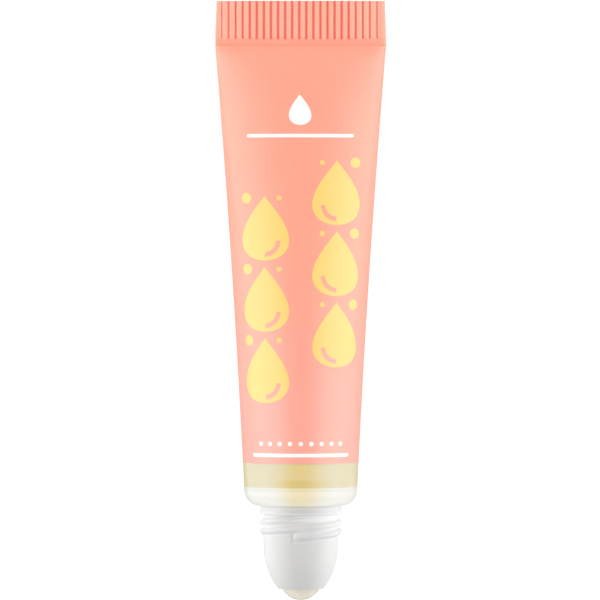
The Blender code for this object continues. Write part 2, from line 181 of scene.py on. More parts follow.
class RollerballBallSizes(bpy.types.PropertyGroup):
    diameter: length("Diameter", "The ball", 6.0)
    proud: length("Proud", "How far the ball stands out of the lip", 1.64)
    clearance: length("Clearance", "Between the ball and its socket", 0.05)
    seat_step: length("Seat step", "How far the seat reaches past the socket", 0.25)
    seat_rim: length("Seat rim", "Flat rim of the seat's cup", 0.7)
    seat_flange: length("Seat flange", "Thickness of the flange that the spigot traps", 0.6)


class RollerballOilSizes(bpy.types.PropertyGroup):
    gap: length("Gap", "Between the oil and the walls round it", 0.06)
    level_share: share("Level share", "Top of the oil, of the body length", 0.93)


class RollerballPrintSizes(bpy.types.PropertyGroup):
    rows: count("Rows", "Drops in each column", 3)
    column_shift: length("Column shift", "From the middle of a face to a column of drops", 5.15)
    start: length("Start", "Station where the drops start", 11.9)
    pitch: length("Pitch", "From one drop to the next in a column", 10.0)
    drop_width: length("Drop width", "Width of a printed drop", 7.0)
    drop_length: length("Drop length", "Length of a printed drop", 9.2)
    belly_drop: length("Belly drop", "From a drop's middle down to the middle of its round part", 1.75)
    glint_radius: length("Glint radius", "Radius of the bare arc in a drop", 2.0)
    glint_width: length("Glint width", "Width of the bare arc in a drop", 0.75)
    big_dot: length("Big dot", "Radius of the bigger dot beside a tip", 0.8)
    big_dot_aside: length("Big dot aside", "From the column outwards to that dot", 2.75)
    small_dot: length("Small dot", "Radius of the smaller dot beside a tip", 0.42)
    small_dot_aside: length("Small dot aside", "From the column inwards to that dot", 2.1)
    edge: length("Edge", "Softness of the printed edges", 0.05)
    white_station: length("White mark", "Station of the small white drop", 53.6)
    white_width: length("White width", "Width of the small white drop", 3.2)
    white_length: length("White length", "Length of the small white drop", 4.4)
    line_station: length("White line", "Station of the line below the white drop", 49.9)
    line_half: length("Line half length", "Half the length of that line", 7.4)
    line_radius: length("Line radius", "Half the line's thickness", 0.3)
    low_line_station: length("Low line", "Station of the line below the row of dots", 5.0)
    bead_station: length("Bead row", "Station of the row of white dots near the window", 6.6)
    bead_pitch: length("Bead pitch", "From one white dot to the next", 1.5)
    bead_radius: length("Bead radius", "Radius of a white dot", 0.36)
    bead_half: length("Bead row half length", "Half the length of the row of white dots", 6.0)


class RollerballFinishSizes(bpy.types.PropertyGroup):
    # Painted light: below the coral top the ink turns paler towards the window.
    coral_top: length("Coral top", "Station above which the ink is plain coral", 42.0)
    coral_foot: length("Coral foot", "Station below which it is low coral", 4.0)
    print_cloud: length("Print cloud", "Size of the clouds in the ink", 6.0)
    print_cloud_share: share("Print cloud share", "How much of the pale ink they hold", 0.12)
    print_grain: length("Print grain", "Size of the ink's grain", 0.35)
    print_depth: length("Print depth", "Height of the grain and of the yellow ink", 0.006)
    print_scatter: length("Print scatter", "How far light spreads in the printed wall", 0.6)
    # Painted light: the ink is painted paler near the fold, where shade falls.
    fold_core: length("Fold core", "How far from the fold the ink is palest", 0.1)
    fold_reach: length("Fold reach", "How far from the fold it is paler", 0.8)
    fold_share: share("Fold share", "How much of the pale ink the fold shows", 0.5)
    # Where the painted shade in the lines weakens at the seal's sides.
    side_lines_start: length("Side lines start", "From here outwards the lines' ink gets paler", 9.0)
    side_lines_end: length("Side lines end", "From here outwards it stays so", 11.0)
    side_lines_share: share("Side lines share", "How deep the lines' ink is there", 0.75)
    # Painted light: the oil's glow along the middle of the milky plastic.
    glow_core: length("Glow core", "Half width of the full glow along the middle", 0.3)
    glow_reach: length("Glow reach", "How far beside the middle the oil's glow ends", 4.6)
    glow_fade_start: length("Glow fade start", "Station where the glow starts to fade", -0.5)
    glow_fade_end: length("Glow fade end", "Station where it is faded", -2.1)
    glow_fade_share: share("Glow fade share", "How much of it is lost there", 0.25)
    # Painted light: the milky plastic is painted paler next to the ledge.
    foot_start: length("Foot start", "Station where the milky plastic starts to turn paler", -0.8)
    foot_end: length("Foot end", "Station where it is palest", -2.4)
    film_start: length("Film start", "Station where the milky look over the skirt starts to end", 0.3)
    film_full: length("Film full", "Station where it has ended", 0.5)
    deep_full: length("Deep full", "Station below which the film shows the skirt's shade in full", 1.3)
    deep_end: length("Deep end", "Station where that shade ends", 1.7)
    # Painted shade: the film is painted darker at its edges.
    film_edge_start: length("Film edge start", "From here outwards the film gets deeper", 7.3)
    film_edge_end: length("Film edge end", "From here outwards it stays so", 7.9)
    film_edge_share: share("Film edge share", "How much of the deep film shows there", 0.5)
    film_scatter: length("Film scatter", "How far light spreads in the bare wall", 0.5)
    haze_size: length("Haze size", "Size of the clouds in the milky plastic", 5.0)
    cloud_share: share("Cloud share", "How strongly clouds in plain plastic show", 0.08)
    shoulder_grain: length("Shoulder grain", "Size of the shoulder's grain", 0.4)
    moulded_cloud: length("Moulded cloud", "Size of the clouds in the white mouldings", 2.5)
    moulded_grain: length("Moulded grain", "Size of their grain", 0.3)
    grain_depth: length("Grain depth", "Height of the grain on moulded plastic", 0.002)
    housing_scatter: length("Housing scatter", "How far light spreads in the housing", 0.8)
    # Painted light: the housing's sides are painted paler than its middle, and its nooks paler still.
    housing_core: length("Housing core", "Half width of the housing's darker middle", 1.0)
    housing_reach: length("Housing reach", "From here outwards the housing is pale", 5.4)
    housing_side_share: share("Housing side share", "How much of the pale white shows there", 0.92)
    nook_share: share("Nook share", "How much of the nook's white shows in the nooks", 0.9)
    streak_size: length("Streak size", "Size of the ball's streaks", 1.4)
    ball_grain: length("Ball grain", "Size of the ball's grain", 0.5)
    ripple_size: length("Ripple size", "Size of the oil's ripples", 3.0)
    fibre_size: length("Fibre size", "Size of the floor paper's fibres", 0.8)


class RollerballColours(bpy.types.PropertyGroup):
    coral: colour("Coral ink", "Main print on the sleeve", (0.965, 0.355, 0.245))
    # Deep coral: deeper ink in the lines and painted shade in the grooves.
    deep_coral_and_painted_shade: colour("Deep coral", "Ink in the bottom of the pressed lines", (0.79, 0.10, 0.035))
    # Pale coral: paler ink in clouds, stretched ink and a painted highlight on the ridges, and painted
    # light at the fold.
    pale_coral_and_painted_light: colour("Pale coral", "Ink stretched over the ridges of the seal", (0.98, 0.40, 0.285))
    # Painted light: the low coral paints the ink paler towards the window, standing in for more light at
    # that end.
    coral_low_painted_light: colour("Low coral", "The same towards the window", (0.965, 0.373, 0.295))
    yellow: colour("Yellow ink", "Printed drops", (0.965, 0.625, 0.16))
    white: colour("White ink", "Small white marks", (0.93, 0.93, 0.92))
    # Painted light: the film's yellow is deepest along the middle, where light comes through the oil, and
    # paler beside it; the deep film is painted shade next to the skirt and at the edges.
    film: colour("Film", "Window with the oil behind it, along the middle", (0.73, 0.58, 0.27))
    film_side: colour("Film side", "Window with the oil behind it, beside the middle", (0.66, 0.60, 0.405))
    film_painted_shade: colour("Deep film", "The same in the middle next to the skirt, and at the edges",
                      (0.67, 0.52, 0.185))
    # Painted light: the glow is painted along the middle, and the milky foot is painted paler next to the
    # ledge, where the foot is in shade.
    glow: colour("Oil glow", "Milky plastic along the middle of the front and back", (0.82, 0.70, 0.42))
    milky: colour("Milky plastic", "Moulded plastic of the shoulder", (0.77, 0.765, 0.70))
    milky_painted_foot_light: colour("Milky foot", "The same next to the ledge, where more light comes through",
                       (0.97, 0.965, 0.90))
    # Painted light: the housing's sides are painted paler than its middle.
    housing: colour("Housing", "White moulded plastic along the middle", (0.61, 0.604, 0.60))
    housing_painted_side_light: colour("Housing side", "The same at the sides, which more light comes through",
                         (0.75, 0.75, 0.745))
    # Painted light in the nooks and painted shade on the crests.
    housing_painted_nook_light: colour("Housing nook", "Between the ridges, along the middle", (0.76, 0.76, 0.76))
    housing_painted_side_nook_light: colour("Side nook", "Between the ridges, at the sides", (0.87, 0.87, 0.87))
    housing_painted_crest_shade: colour("Housing crest", "What the crests keep of the white", (0.93, 0.93, 0.93))
    seat: colour("Seat", "Plain moulded plastic", (0.82, 0.82, 0.80))
    ball: colour("Ball", "Cream ball", (0.74, 0.68, 0.555))
    ball_streak: colour("Ball streak", "Paler streaks in the ball", (0.78, 0.73, 0.62))
    oil: colour("Oil", "What the oil lets through", (0.975, 0.83, 0.05))
    oil_surface: colour("Oil surface", "What its surface lets through", (1.0, 1.0, 0.98))
    oil_ripple: colour("Oil ripple", "The same in its ripples", (1.0, 0.99, 0.95))
    oil_density: number("Oil density", "How strongly the oil colours light, for each metre", 90.0)


class RollerballStageSizes(bpy.types.PropertyGroup):
    camera_distance: length("Camera distance", "From the tube's axis", 637.0)
    frame_width: length("Frame width", "What the picture takes in at the tube's axis", 84.95)
    centre_station: length("Centre station", "Station in the middle of the picture", 26.76)
    side_shift: length("Side shift", "How far left of the axis the picture's middle is", 0.1)
    floor_size: length("Floor size", "Side of the square floor", 9000.0)
    floor_drop: length("Floor drop", "Gap between the floor and the sleeve", 0.01)
    lamp_length: length("Lamp length", "Length of each side lamp along the tube", 1700.0)
    lamp_distance: length("Lamp distance", "From the tube to each side lamp", 700.0)
    lamp_shift: length("Lamp shift", "How far the side lamps' middles lie towards the seal", 150.0)
    strip_width: length("Strip width", "Height of each low strip lamp", 230.0)
    strip_angle: angle("Strip angle", "The low strips' middle above the floor", 10.5)
    strip_level: number("Strip level", "Brightness of a low strip's face", 2.6)
    softbox_width: length("Softbox width", "Height of each softbox", 560.0)
    softbox_angle: angle("Softbox angle", "The softboxes' middle above the floor", 42.0)
    softbox_level: number("Softbox level", "Brightness of a softbox's face", 1.9)
    world_level: number("World level", "Brightness of the surroundings as a light", 0.2)
    horizon_level: number("Horizon level", "Brightness of the surroundings in reflections", 0.45)
    zenith_level: number("Zenith level", "Brightness of the ceiling in reflections", 0.2)
    ceiling_start: share("Ceiling start", "Height of the view where it starts, 1 straight up", 0.65)
    ceiling_full: share("Ceiling full", "Height of the view where it is full", 0.95)
    floor_shade: number("Floor shade", "How much of the light the floor gives back", 0.5)
    floor_glow: number("Floor glow", "White that the floor shows by itself", 0.68)
    floor_gleam: number("Floor gleam", "The same in reflections", 0.85)
    tube_half_width: length("Tube half width", "Half of what the tube covers across", 8.0)
    tube_half_length: length("Tube half length", "Half of what the tube covers along", 42.0)
    dull_reach: length("Dull reach", "How far beside the tube the floor shows dark in reflections", 5.0)
    gleam_reach: length("Gleam reach", "How far beside the tube it shows its full gleam", 18.0)
    lit_reach: length("Lit reach", "How far from the tube the lamps light the floor in full", 150.0)
    unlit_reach: length("Unlit reach", "How far from the tube the floor shows full white by itself", 700.0)


GROUPS = {
    "rollerball_sleeve": RollerballSleeveSizes,
    "rollerball_head": RollerballHeadSizes,
    "rollerball_housing": RollerballHousingSizes,
    "rollerball_ball": RollerballBallSizes,
    "rollerball_oil": RollerballOilSizes,
    "rollerball_print": RollerballPrintSizes,
    "rollerball_finish": RollerballFinishSizes,
    "rollerball_colours": RollerballColours,
    "rollerball_stage": RollerballStageSizes,
}


# Places along the tube


def sleeve_length(sleeve):
    return sleeve.body_length + sleeve.seal_length


def place(points, sleeve):
    """Lays points on the table: foot + x times +X + station times ALONG + z times UP."""
    foot = np.array(SEAL_END["pos_m"]) - sleeve_length(sleeve) * ALONG
    axes = np.array(((1, 0, 0), ALONG, UP))
    return points @ axes + foot


def collar_foot(head):
    return -head.shoulder_height - head.seam_gap


def dome_base(head, housing):
    return collar_foot(head) - housing.collar_length


def spigot_end(head):
    return -head.shoulder_height - head.spigot_length


def lip_radius(ball):
    """Where the ball's clearance meets the lip's ring: the sphere's radius there, by Pythagoras."""
    socket = ball.diameter / 2 + ball.clearance
    drop = ball.diameter / 2 - ball.proud
    return math.sqrt(socket**2 - drop**2)


def rim_station(head, housing, ball):
    """Where the dome's ellipse has come in to the outside of the lip's ring."""
    reach = (lip_radius(ball) + housing.lip_wall) / (housing.collar_diameter / 2)
    return dome_base(head, housing) - housing.dome_rise * math.sqrt(1 - reach**2)


def ball_station(head, housing, ball):
    return rim_station(head, housing, ball) + ball.diameter / 2 - ball.proud


# Meshes


def grid_faces(rows, columns):
    """Quads between neighbouring rows and columns of a grid that closes on itself round its columns."""
    row, column = np.meshgrid(np.arange(rows - 1), np.arange(columns), indexing="ij")
    beside = (column + 1) % columns
    return np.stack((row * columns + column, row * columns + beside,
                     (row + 1) * columns + beside, (row + 1) * columns + column), axis=-1).reshape(-1, 4)


def grid_corners(values, rows, columns):
    """A value for each face corner of that grid, from values with one column more than the mesh."""
    row, column = np.meshgrid(np.arange(rows - 1), np.arange(columns), indexing="ij")
    return np.stack((values[row, column], values[row, column + 1],
                     values[row + 1, column + 1], values[row + 1, column]), axis=-1).reshape(-1)


def add_grid(name, points, sleeve, girth=None, stations=None, relief=None):
    """Makes a closed smooth piece of a grid of points; each row is a ring, and the end rows close up."""
    rows, columns = points.shape[:2]
    mesh = bpy.data.meshes.new(name)
    faces = grid_faces(rows, columns)
    mesh.vertices.add(rows * columns)
    mesh.vertices.foreach_set("co", place(points.reshape(-1, 3), sleeve).ravel())
    mesh.loops.add(faces.size)
    mesh.loops.foreach_set("vertex_index", faces.ravel())
    mesh.polygons.add(len(faces))
    mesh.polygons.foreach_set("loop_start", np.arange(len(faces)) * 4)
    mesh.update(calc_edges=True)
    if girth is not None:
        across = grid_corners(girth, rows, columns)
        along = grid_corners(np.repeat(stations[:, None], columns + 1, axis=1), rows, columns)
        layer = mesh.uv_layers.new(name="print place")
        layer.data.foreach_set("uv", np.stack((across, along), axis=-1).ravel())
    if relief is not None:
        mesh.attributes.new("relief", "FLOAT", "POINT").data.foreach_set("value", relief.ravel())
    close_and_turn_out(mesh)
    mesh.shade_smooth()
    mesh.set_sharp_from_angle(angle=SHARP_ANGLE)
    obj = bpy.data.objects.new(name, mesh)
    bpy.context.scene.collection.objects.link(obj)
    return obj


def close_and_turn_out(mesh):
    """Merges the points that fall together at seams and poles, and turns every face outwards."""
    bm = bmesh.new()
    bm.from_mesh(mesh)
    bmesh.ops.remove_doubles(bm, verts=bm.verts, dist=MERGE_DISTANCE)
    bmesh.ops.dissolve_degenerate(bm, dist=MERGE_DISTANCE, edges=bm.edges)
    bmesh.ops.recalc_face_normals(bm, faces=bm.faces)
    bm.to_mesh(mesh)
    bm.free()


def turned(profile, steps, swell=None):
    """A profile of (radius, station) points carried round the axis; swell adds to the radius of each
    point of the grid, and is worked out from the grid's angles and stations."""
    radius, station = np.array(profile).T[:, :, None]
    angle = np.arange(steps)[None, :] * TURN / steps
    if swell:
        radius = radius + swell(angle, station)
    return np.stack(np.broadcast_arrays(radius * np.cos(angle), station, radius * np.sin(angle)), axis=-1)


def arc(centre_station, centre_radius, radial, axial, start, end, steps):
    """Points on an elliptic arc in the profile's plane; angles run from the radial direction."""
    angle = np.linspace(start, end, steps)
    return [(centre_radius + radial * math.cos(a), centre_station + axial * math.sin(a)) for a in angle]


def line(start, end, steps):
    """Evenly spaced points between two profile points, without the first."""
    return [tuple(point) for point in np.linspace(start, end, steps + 1)[1:]]


def smooth_step(values):
    """0 below 0, 1 above 1, and 3v^2 - 2v^3 between."""
    v = np.clip(values, 0, 1)
    return v * v * (3 - 2 * v)


def relief_of(raised, sunk=0):
    """The relief attribute: 0 where sunk is 1, 1 where raised is 1, and a half where both are 0."""
    return (1 + raised - sunk) / 2


def finish_piece(obj, body, slot_name, material, *nodes):
    obj.data.materials.append(material)
    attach(obj, body)
    if nodes:
        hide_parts(*nodes)


# Sleeve


SEAL_SAMPLE_SHARES = (-0.5, -0.4, -0.3, -0.2, -0.1, 0, 0.1, 0.2, 0.3, 0.4)
SEAL_EDGE_SHARES = (1, 0.99985, 0.9992, 0.9975, 0.995)
WINDOW_COLUMNS = 192
SEAL_COLUMNS_START_SHARE = 0.72
SEAL_COLUMNS_END_SHARE = 0.985
CUT_END_POWER = 4
BODY_ROWS = 96
BAND_ROWS = 4
LINE_END_ROWS = 13
LINE_ROWS = 6
CUT_END_ROWS = 8
INSIDE_ROWS = 24
WINDOW_ROWS = 14
WINDOW_INSIDE_ROWS = 8


def sleeve_half_sizes(sleeve, stations):
    """Half width, half thickness and superellipse power at each station.

    With t the share of the body's length, the half width grows as 0.73 t + 0.27 t^2 from the round
    radius to the seal's, the half thickness falls as (1 - t)^0.47 from that radius to half the
    seal's thickness, and the power rises as t^150 from an ellipse's 2 to a flat bar's 12.
    """
    t = np.clip(stations / sleeve.body_length, 0, 1)
    radius = sleeve.diameter / 2
    seal_half = (sleeve.diameter - sleeve.wall) * math.pi / 4 * sleeve.seal_width_share
    widening = sleeve.straight_share * t + (1 - sleeve.straight_share) * t**2
    half_width = radius + (seal_half - radius) * widening
    thin = sleeve.seal_thickness / 2
    half_thickness = thin + (radius - thin) * (1 - t) ** sleeve.taper_power
    power = sleeve.round_power + (sleeve.seal_power - sleeve.round_power) * t**sleeve.flattening_power
    past = stations - (sleeve_length(sleeve) - sleeve.serration_length)
    half_width = half_width - sleeve.seal_narrowing * np.clip(past / sleeve.serration_length, 0, 1)
    return half_width, half_thickness, power


def seal_sides(sleeve):
    """Where the columns of one face of the seal lie, as shares of its half width from 1 to -1: close
    together in every pressed line and round the edges."""
    half_width = float(sleeve_half_sizes(sleeve, np.array(sleeve_length(sleeve)))[0])
    lines = int(2 * half_width / sleeve.groove_pitch)
    middles = (np.arange(lines) - (lines - 1) / 2) * sleeve.groove_pitch + sleeve.groove_shift
    samples = (middles[:, None] + np.array(SEAL_SAMPLE_SHARES) * sleeve.groove_pitch).ravel()
    samples = np.append(samples, middles[-1] + sleeve.groove_pitch / 2) / half_width
    edge = np.array(SEAL_EDGE_SHARES)
    return np.concatenate((edge, samples[::-1], -edge[::-1])), middles


def sleeve_columns(sleeve, stations, side_shares):
    """The share of the half width at each row and column: cosines of even angles on the body, which
    give way to side_shares towards the seal. Also the sign of z, for the front and then the back."""
    steps = len(side_shares) - 1
    even = np.cos(np.linspace(0, math.pi, steps + 1))
    t = stations / sleeve.body_length
    blend_length = SEAL_COLUMNS_END_SHARE - SEAL_COLUMNS_START_SHARE
    blend = smooth_step((t - SEAL_COLUMNS_START_SHARE) / blend_length)
    front = even[None, :] + blend[:, None] * (side_shares - even)[None, :]
    across = np.concatenate((front, front[:, -2:0:-1]), axis=1)
    sign = np.concatenate((np.ones(steps + 1), -np.ones(steps - 1)))
    return across, sign


def sleeve_skin(sleeve, stations, across, sign, inset=0.0):
    """Superellipse sections: x = width * share, z = thickness * (1 - |share|^power)^(1/power)."""
    width, thickness, power = (values[:, None] for values in sleeve_half_sizes(sleeve, stations))
    rise = (1 - np.clip(np.abs(across), 0, 1) ** power) ** (1 / power)
    x = (width - inset) * across
    z = (thickness - inset) * rise * sign[None, :]
    return np.stack(np.broadcast_arrays(x, stations[:, None], z), axis=-1)


def press_lines(sleeve, points, middles):
    """Presses the seal's lines: z shrinks by depth * cos^2(pi r / width), where r is how far a point
    is from the nearest line. The lines end in a half round below their start. Also gives the relief of
    the ink: 0 in a line, where the ink is a little wider than the cut in the middle of the seal and
    thinner at its sides, 1 on the ridges, and a half on the plain sleeve. The material paints the lines
    darker, deeper ink and painted shade, and the ridges paler, stretched ink and a painted highlight."""
    x, station, z = np.moveaxis(points, -1, 0)
    nearest = middles[np.argmin(np.abs(x[..., None] - middles), axis=-1)]
    start = sleeve_length(sleeve) - sleeve.serration_length
    reach = np.hypot(x - nearest, np.clip(start - station, 0, None))
    depth = np.cos(math.pi * np.clip(reach / sleeve.groove_width, 0, 0.5)) ** 2
    pressed = points.copy()
    pressed[..., 2] = np.sign(z) * np.clip(np.abs(z) - sleeve.groove_depth * depth, 0, None)
    beside = smooth_step((station - start) / sleeve.groove_width + 0.5)
    on_line = np.abs(x) < middles[-1] + sleeve.groove_pitch / 2
    thin = smooth_step((np.abs(x) - sleeve.wide_lines) / (sleeve.thin_lines - sleeve.wide_lines))
    inked = np.where(on_line, depth ** ((1 + thin) / 2), 0)
    return pressed, relief_of(beside * (1 - inked), inked)


def settle_on_table(points, sleeve):
    """Raises what lies under the table to z = 0, as the soft back settles."""
    foot = np.array(SEAL_END["pos_m"]) - sleeve_length(sleeve) * ALONG
    lowest = -(foot[2] + points[..., 1] * ALONG[2]) / UP[2]
    settled = points.copy()
    settled[..., 2] = np.maximum(points[..., 2], lowest)
    return settled


def girth_places(points):
    """How far round the ring each column lies from the middle of the front, in millimetres, with one
    column more than the ring, so that the last face doesn't run back to the start."""
    closed = np.concatenate((points, points[:, :1]), axis=1)
    steps = np.linalg.norm(np.diff(closed[..., [0, 2]], axis=1), axis=-1)
    run = np.concatenate((np.zeros((len(points), 1)), np.cumsum(steps, axis=1)), axis=1)
    quarter_ring = points.shape[1] // 4
    middle = run[:, quarter_ring][:, None]
    return (middle - run) * METRES_TO_MM


def sleeve_shell(sleeve, name, outer_stations, inner_stations, side_shares, middles=None):
    """Inner skin, rim and outer skin as one grid. Where middles gives the places of the pressed lines,
    the outer skin ends in the seal and the inner one is shut below it."""
    across, sign = sleeve_columns(sleeve, outer_stations, side_shares)
    outer = sleeve_skin(sleeve, outer_stations, across, sign)
    relief = np.full(outer.shape[:2], relief_of(0))
    if middles is not None:
        outer, relief = press_lines(sleeve, outer, middles)
        past = (outer_stations - sleeve_length(sleeve)) / sleeve.seal_round + 1
        outer[..., 2] *= ((1 - np.clip(past, 0, 1) ** CUT_END_POWER) ** (1 / CUT_END_POWER))[:, None]
    outer = settle_on_table(outer, sleeve)
    inner_across, _ = sleeve_columns(sleeve, inner_stations, side_shares)
    inner = sleeve_skin(sleeve, inner_stations, inner_across, sign, sleeve.wall)
    if middles is None:
        parts = (inner, outer, inner[:1])
    else:
        shut = inner[:1].copy()
        shut[..., 2] = 0
        parts = (shut, inner, outer)
    points = np.concatenate(parts)
    girth = girth_places(outer)
    girths = [girth if rows is outer else np.repeat(girth[:1], len(rows), axis=0) for rows in parts]
    reliefs = [relief if rows is outer else np.full(rows.shape[:2], relief_of(0)) for rows in parts]
    stations = points[:, 0, 1] * METRES_TO_MM
    return add_grid(name, points, sleeve, np.concatenate(girths), stations, np.concatenate(reliefs))


def printed_stations(sleeve):
    """Rows of the printed part: closer towards the fold, at the lines' round ends and at the cut end."""
    t = np.linspace(0, 1, BODY_ROWS)
    start = sleeve.window_length / sleeve.body_length
    body = (start + (1 - start) * (1 - (1 - t) ** 2)) * sleeve.body_length
    serration = sleeve_length(sleeve) - sleeve.serration_length
    ends_start = serration - sleeve.groove_width / 2
    band = np.linspace(sleeve.body_length, ends_start, BAND_ROWS)[1:]
    ends = np.linspace(ends_start, serration + sleeve.groove_width / 2, LINE_END_ROWS)[1:]
    lines = np.linspace(ends[-1], sleeve_length(sleeve) - sleeve.seal_round, LINE_ROWS)[1:]
    quarter = np.linspace(0, math.pi / 2, CUT_END_ROWS)[1:]
    cut = sleeve_length(sleeve) - sleeve.seal_round * (1 - np.sin(quarter))
    return np.concatenate((body, band, ends, lines, cut))


def make_printed_sleeve(sleeve, material):
    side_shares, middles = seal_sides(sleeve)
    stations = printed_stations(sleeve)
    end = sleeve.cavity_share * sleeve.body_length
    inner = np.linspace(end, sleeve.window_length, INSIDE_ROWS)
    obj = sleeve_shell(sleeve, "sleeve_print", stations, inner, side_shares, middles)
    finish_piece(obj, "tube", "coral_print", material, "tube_sleeve")


def make_window(sleeve, material):
    """The bare end of the sleeve, from its rounded rim up to the print."""
    side_shares = np.cos(np.linspace(0, math.pi, WINDOW_COLUMNS // 2 + 1))
    half_round = sleeve.rim_round / 2
    above_rim = np.linspace(sleeve.rim_round, sleeve.window_length, WINDOW_ROWS)
    outer = np.concatenate(((0, half_round), above_rim))
    inner = np.linspace(sleeve.window_length, sleeve.rim_round, WINDOW_INSIDE_ROWS)
    inner = np.concatenate((inner, (0,)))
    obj = sleeve_shell(sleeve, "sleeve_window", outer, inner, side_shares)
    finish_piece(obj, "tube", "natural_plastic", material, "tube_sleeve")


# Head


HEAD_COLUMNS = 192
SHOULDER_ROWS = 24
SHOULDER_INSIDE_ROWS = 12


def make_head(sleeve, head, housing, material):
    """Skirt in the sleeve, rounded shoulder, ledge, and the spigot with its snap bead."""
    gap = head.seam_gap
    ledge = housing.collar_diameter / 2 + housing.thread_height + head.ledge
    rim = sleeve.diameter / 2
    skirt = rim - sleeve.wall - gap
    inner = skirt - head.skirt_wall
    bottom = -head.shoulder_height
    spigot = housing.collar_diameter / 2 - housing.collar_wall - gap
    bore = spigot - head.spigot_wall
    bead = bottom - head.spigot_length / 2
    half_bead = head.bead_length / 2
    top = -head.seam_line
    profile = [(skirt, head.skirt_height), (skirt, top)]
    profile += arc(top, ledge, rim - ledge, head.shoulder_height + top, 0, -math.pi / 2, SHOULDER_ROWS)
    profile += [(spigot, bottom), (spigot, bead + half_bead), (spigot + head.bead_height, bead),
                (spigot, bead - half_bead), (spigot, spigot_end(head)), (bore, spigot_end(head)),
                (bore, bottom + head.shoulder_wall)]
    profile += arc(-gap, ledge, inner - ledge, head.shoulder_height - head.shoulder_wall - gap,
                   -math.pi / 2, 0, SHOULDER_INSIDE_ROWS)
    profile += [(inner, head.skirt_height)]
    points = turned(profile + profile[:1], HEAD_COLUMNS)
    girth = girth_places(points)
    obj = add_grid("shoulder_and_spigot", points, sleeve, girth, points[:, 0, 1] * METRES_TO_MM)
    finish_piece(obj, "tube", "natural_plastic", material, "tube_head")


# Roller housing


HOUSING_COLUMNS = 432
FLANGE_ROWS = 6
COLLAR_ROWS = 74
DOME_ROWS = 44
LIP_ROWS = 9
SOCKET_ROWS = 12
DOME_CUT_ANGLE = 0.03
EDGE_MIDDLE_SHARE = 0.3
FINE_EDGE_SHARE = 1 / 3
LIP_REACH_SHARE = 0.6
OUTSIDE_SHARE = 0.99


def thread_swell(head, housing):
    """How far the threads and their stop ribs stand out at an angle and a station of the collar.

    A ridge's middle climbs from its blunt end by one lead for each turn clockwise. Its height falls
    off on both sides from the crest's width to the root's, and where it runs out at its top.
    """
    start = collar_foot(head) - housing.thread_drop
    crest_radius = housing.collar_diameter / 2 + housing.thread_height
    turns = housing.thread_climb / housing.thread_lead
    flank_width = (housing.thread_root - housing.thread_crest) / 2

    def swell(angle, station):
        height = np.zeros(np.broadcast_shapes(angle.shape, station.shape))
        for number in range(housing.thread_starts):
            first = housing.thread_angle + TURN * number / housing.thread_starts
            for lap in range(math.ceil(turns)):
                turned_by = (first - angle) % TURN / TURN + lap
                middle = start + housing.thread_climb * turned_by / turns
                off = np.abs(station - middle)
                flank = smooth_step((housing.thread_root / 2 - off) / flank_width)
                begun = smooth_step(turned_by * TURN * crest_radius / housing.blunt_end)
                left = np.clip((turns - turned_by) / housing.run_out_share, 0, 1)
                height = np.maximum(height, housing.thread_height * flank * begun * left)
            rib_angle = first + housing.rib_width / crest_radius
            aside = np.abs((angle - rib_angle + math.pi) % TURN - math.pi) * crest_radius
            soft = housing.rib_round
            beside = smooth_step((housing.rib_width / 2 + soft / 2 - aside) / soft)
            below = smooth_step((start - station + soft / 2) / soft)
            above = smooth_step((station - start + housing.rib_length) / soft)
            height = np.maximum(height, housing.rib_height * beside * below * above)
        below_flange = station < collar_foot(head) - housing.flange_length
        return height * (below_flange & (station > dome_base(head, housing)))

    return swell


def housing_outside(head, housing, ball):
    """Flange, collar and dome down to the lip, as (radius, station) points from top to bottom."""
    collar = housing.collar_diameter / 2
    crest = collar + housing.thread_height
    foot = -head.shoulder_height - head.seam_line
    flange_end = collar_foot(head) - housing.flange_length
    edge = housing.edge_round
    base = dome_base(head, housing)
    rim = lip_radius(ball) + housing.lip_wall
    dome_end = math.acos(rim / collar) - DOME_CUT_ANGLE
    sharp = edge * FINE_EDGE_SHARE
    sharp_middle = sharp * EDGE_MIDDLE_SHARE
    edge_middle = edge * EDGE_MIDDLE_SHARE
    points = [(crest - sharp, foot), (crest - sharp_middle, foot - sharp_middle), (crest, foot - sharp)]
    points += line((crest, foot - sharp), (crest, flange_end + edge), FLANGE_ROWS)
    points += [(crest - edge_middle, flange_end + edge_middle), (crest - edge, flange_end)]
    points += [(collar + edge, flange_end), (collar, flange_end - edge)]
    points += line((collar, flange_end - edge), (collar, base), COLLAR_ROWS)
    points += arc(base, 0, collar, housing.dome_rise, 0, -dome_end, DOME_ROWS)[1:]
    return points


def housing_lip(head, housing, ball):
    """The nose's edge, which rolls over from the dome towards the ball as a quadratic curve: its
    points are (1 - t)^2 * dome end + 2 t (1 - t) * control + t^2 * edge of the flat."""
    outside = housing_outside(head, housing, ball)[-1]
    inner = lip_radius(ball) - housing.lip_inset
    tip = rim_station(head, housing, ball) - housing.lip_round * LIP_REACH_SHARE
    control = np.array((outside[0] - housing.lip_shoulder, tip))
    end = np.array((inner + housing.lip_flat, tip + housing.lip_dip))
    t = np.linspace(0, 1, LIP_ROWS)[1:, None]
    curve = (1 - t) ** 2 * np.array(outside) + 2 * t * (1 - t) * control + t**2 * end
    return [tuple(point) for point in curve]


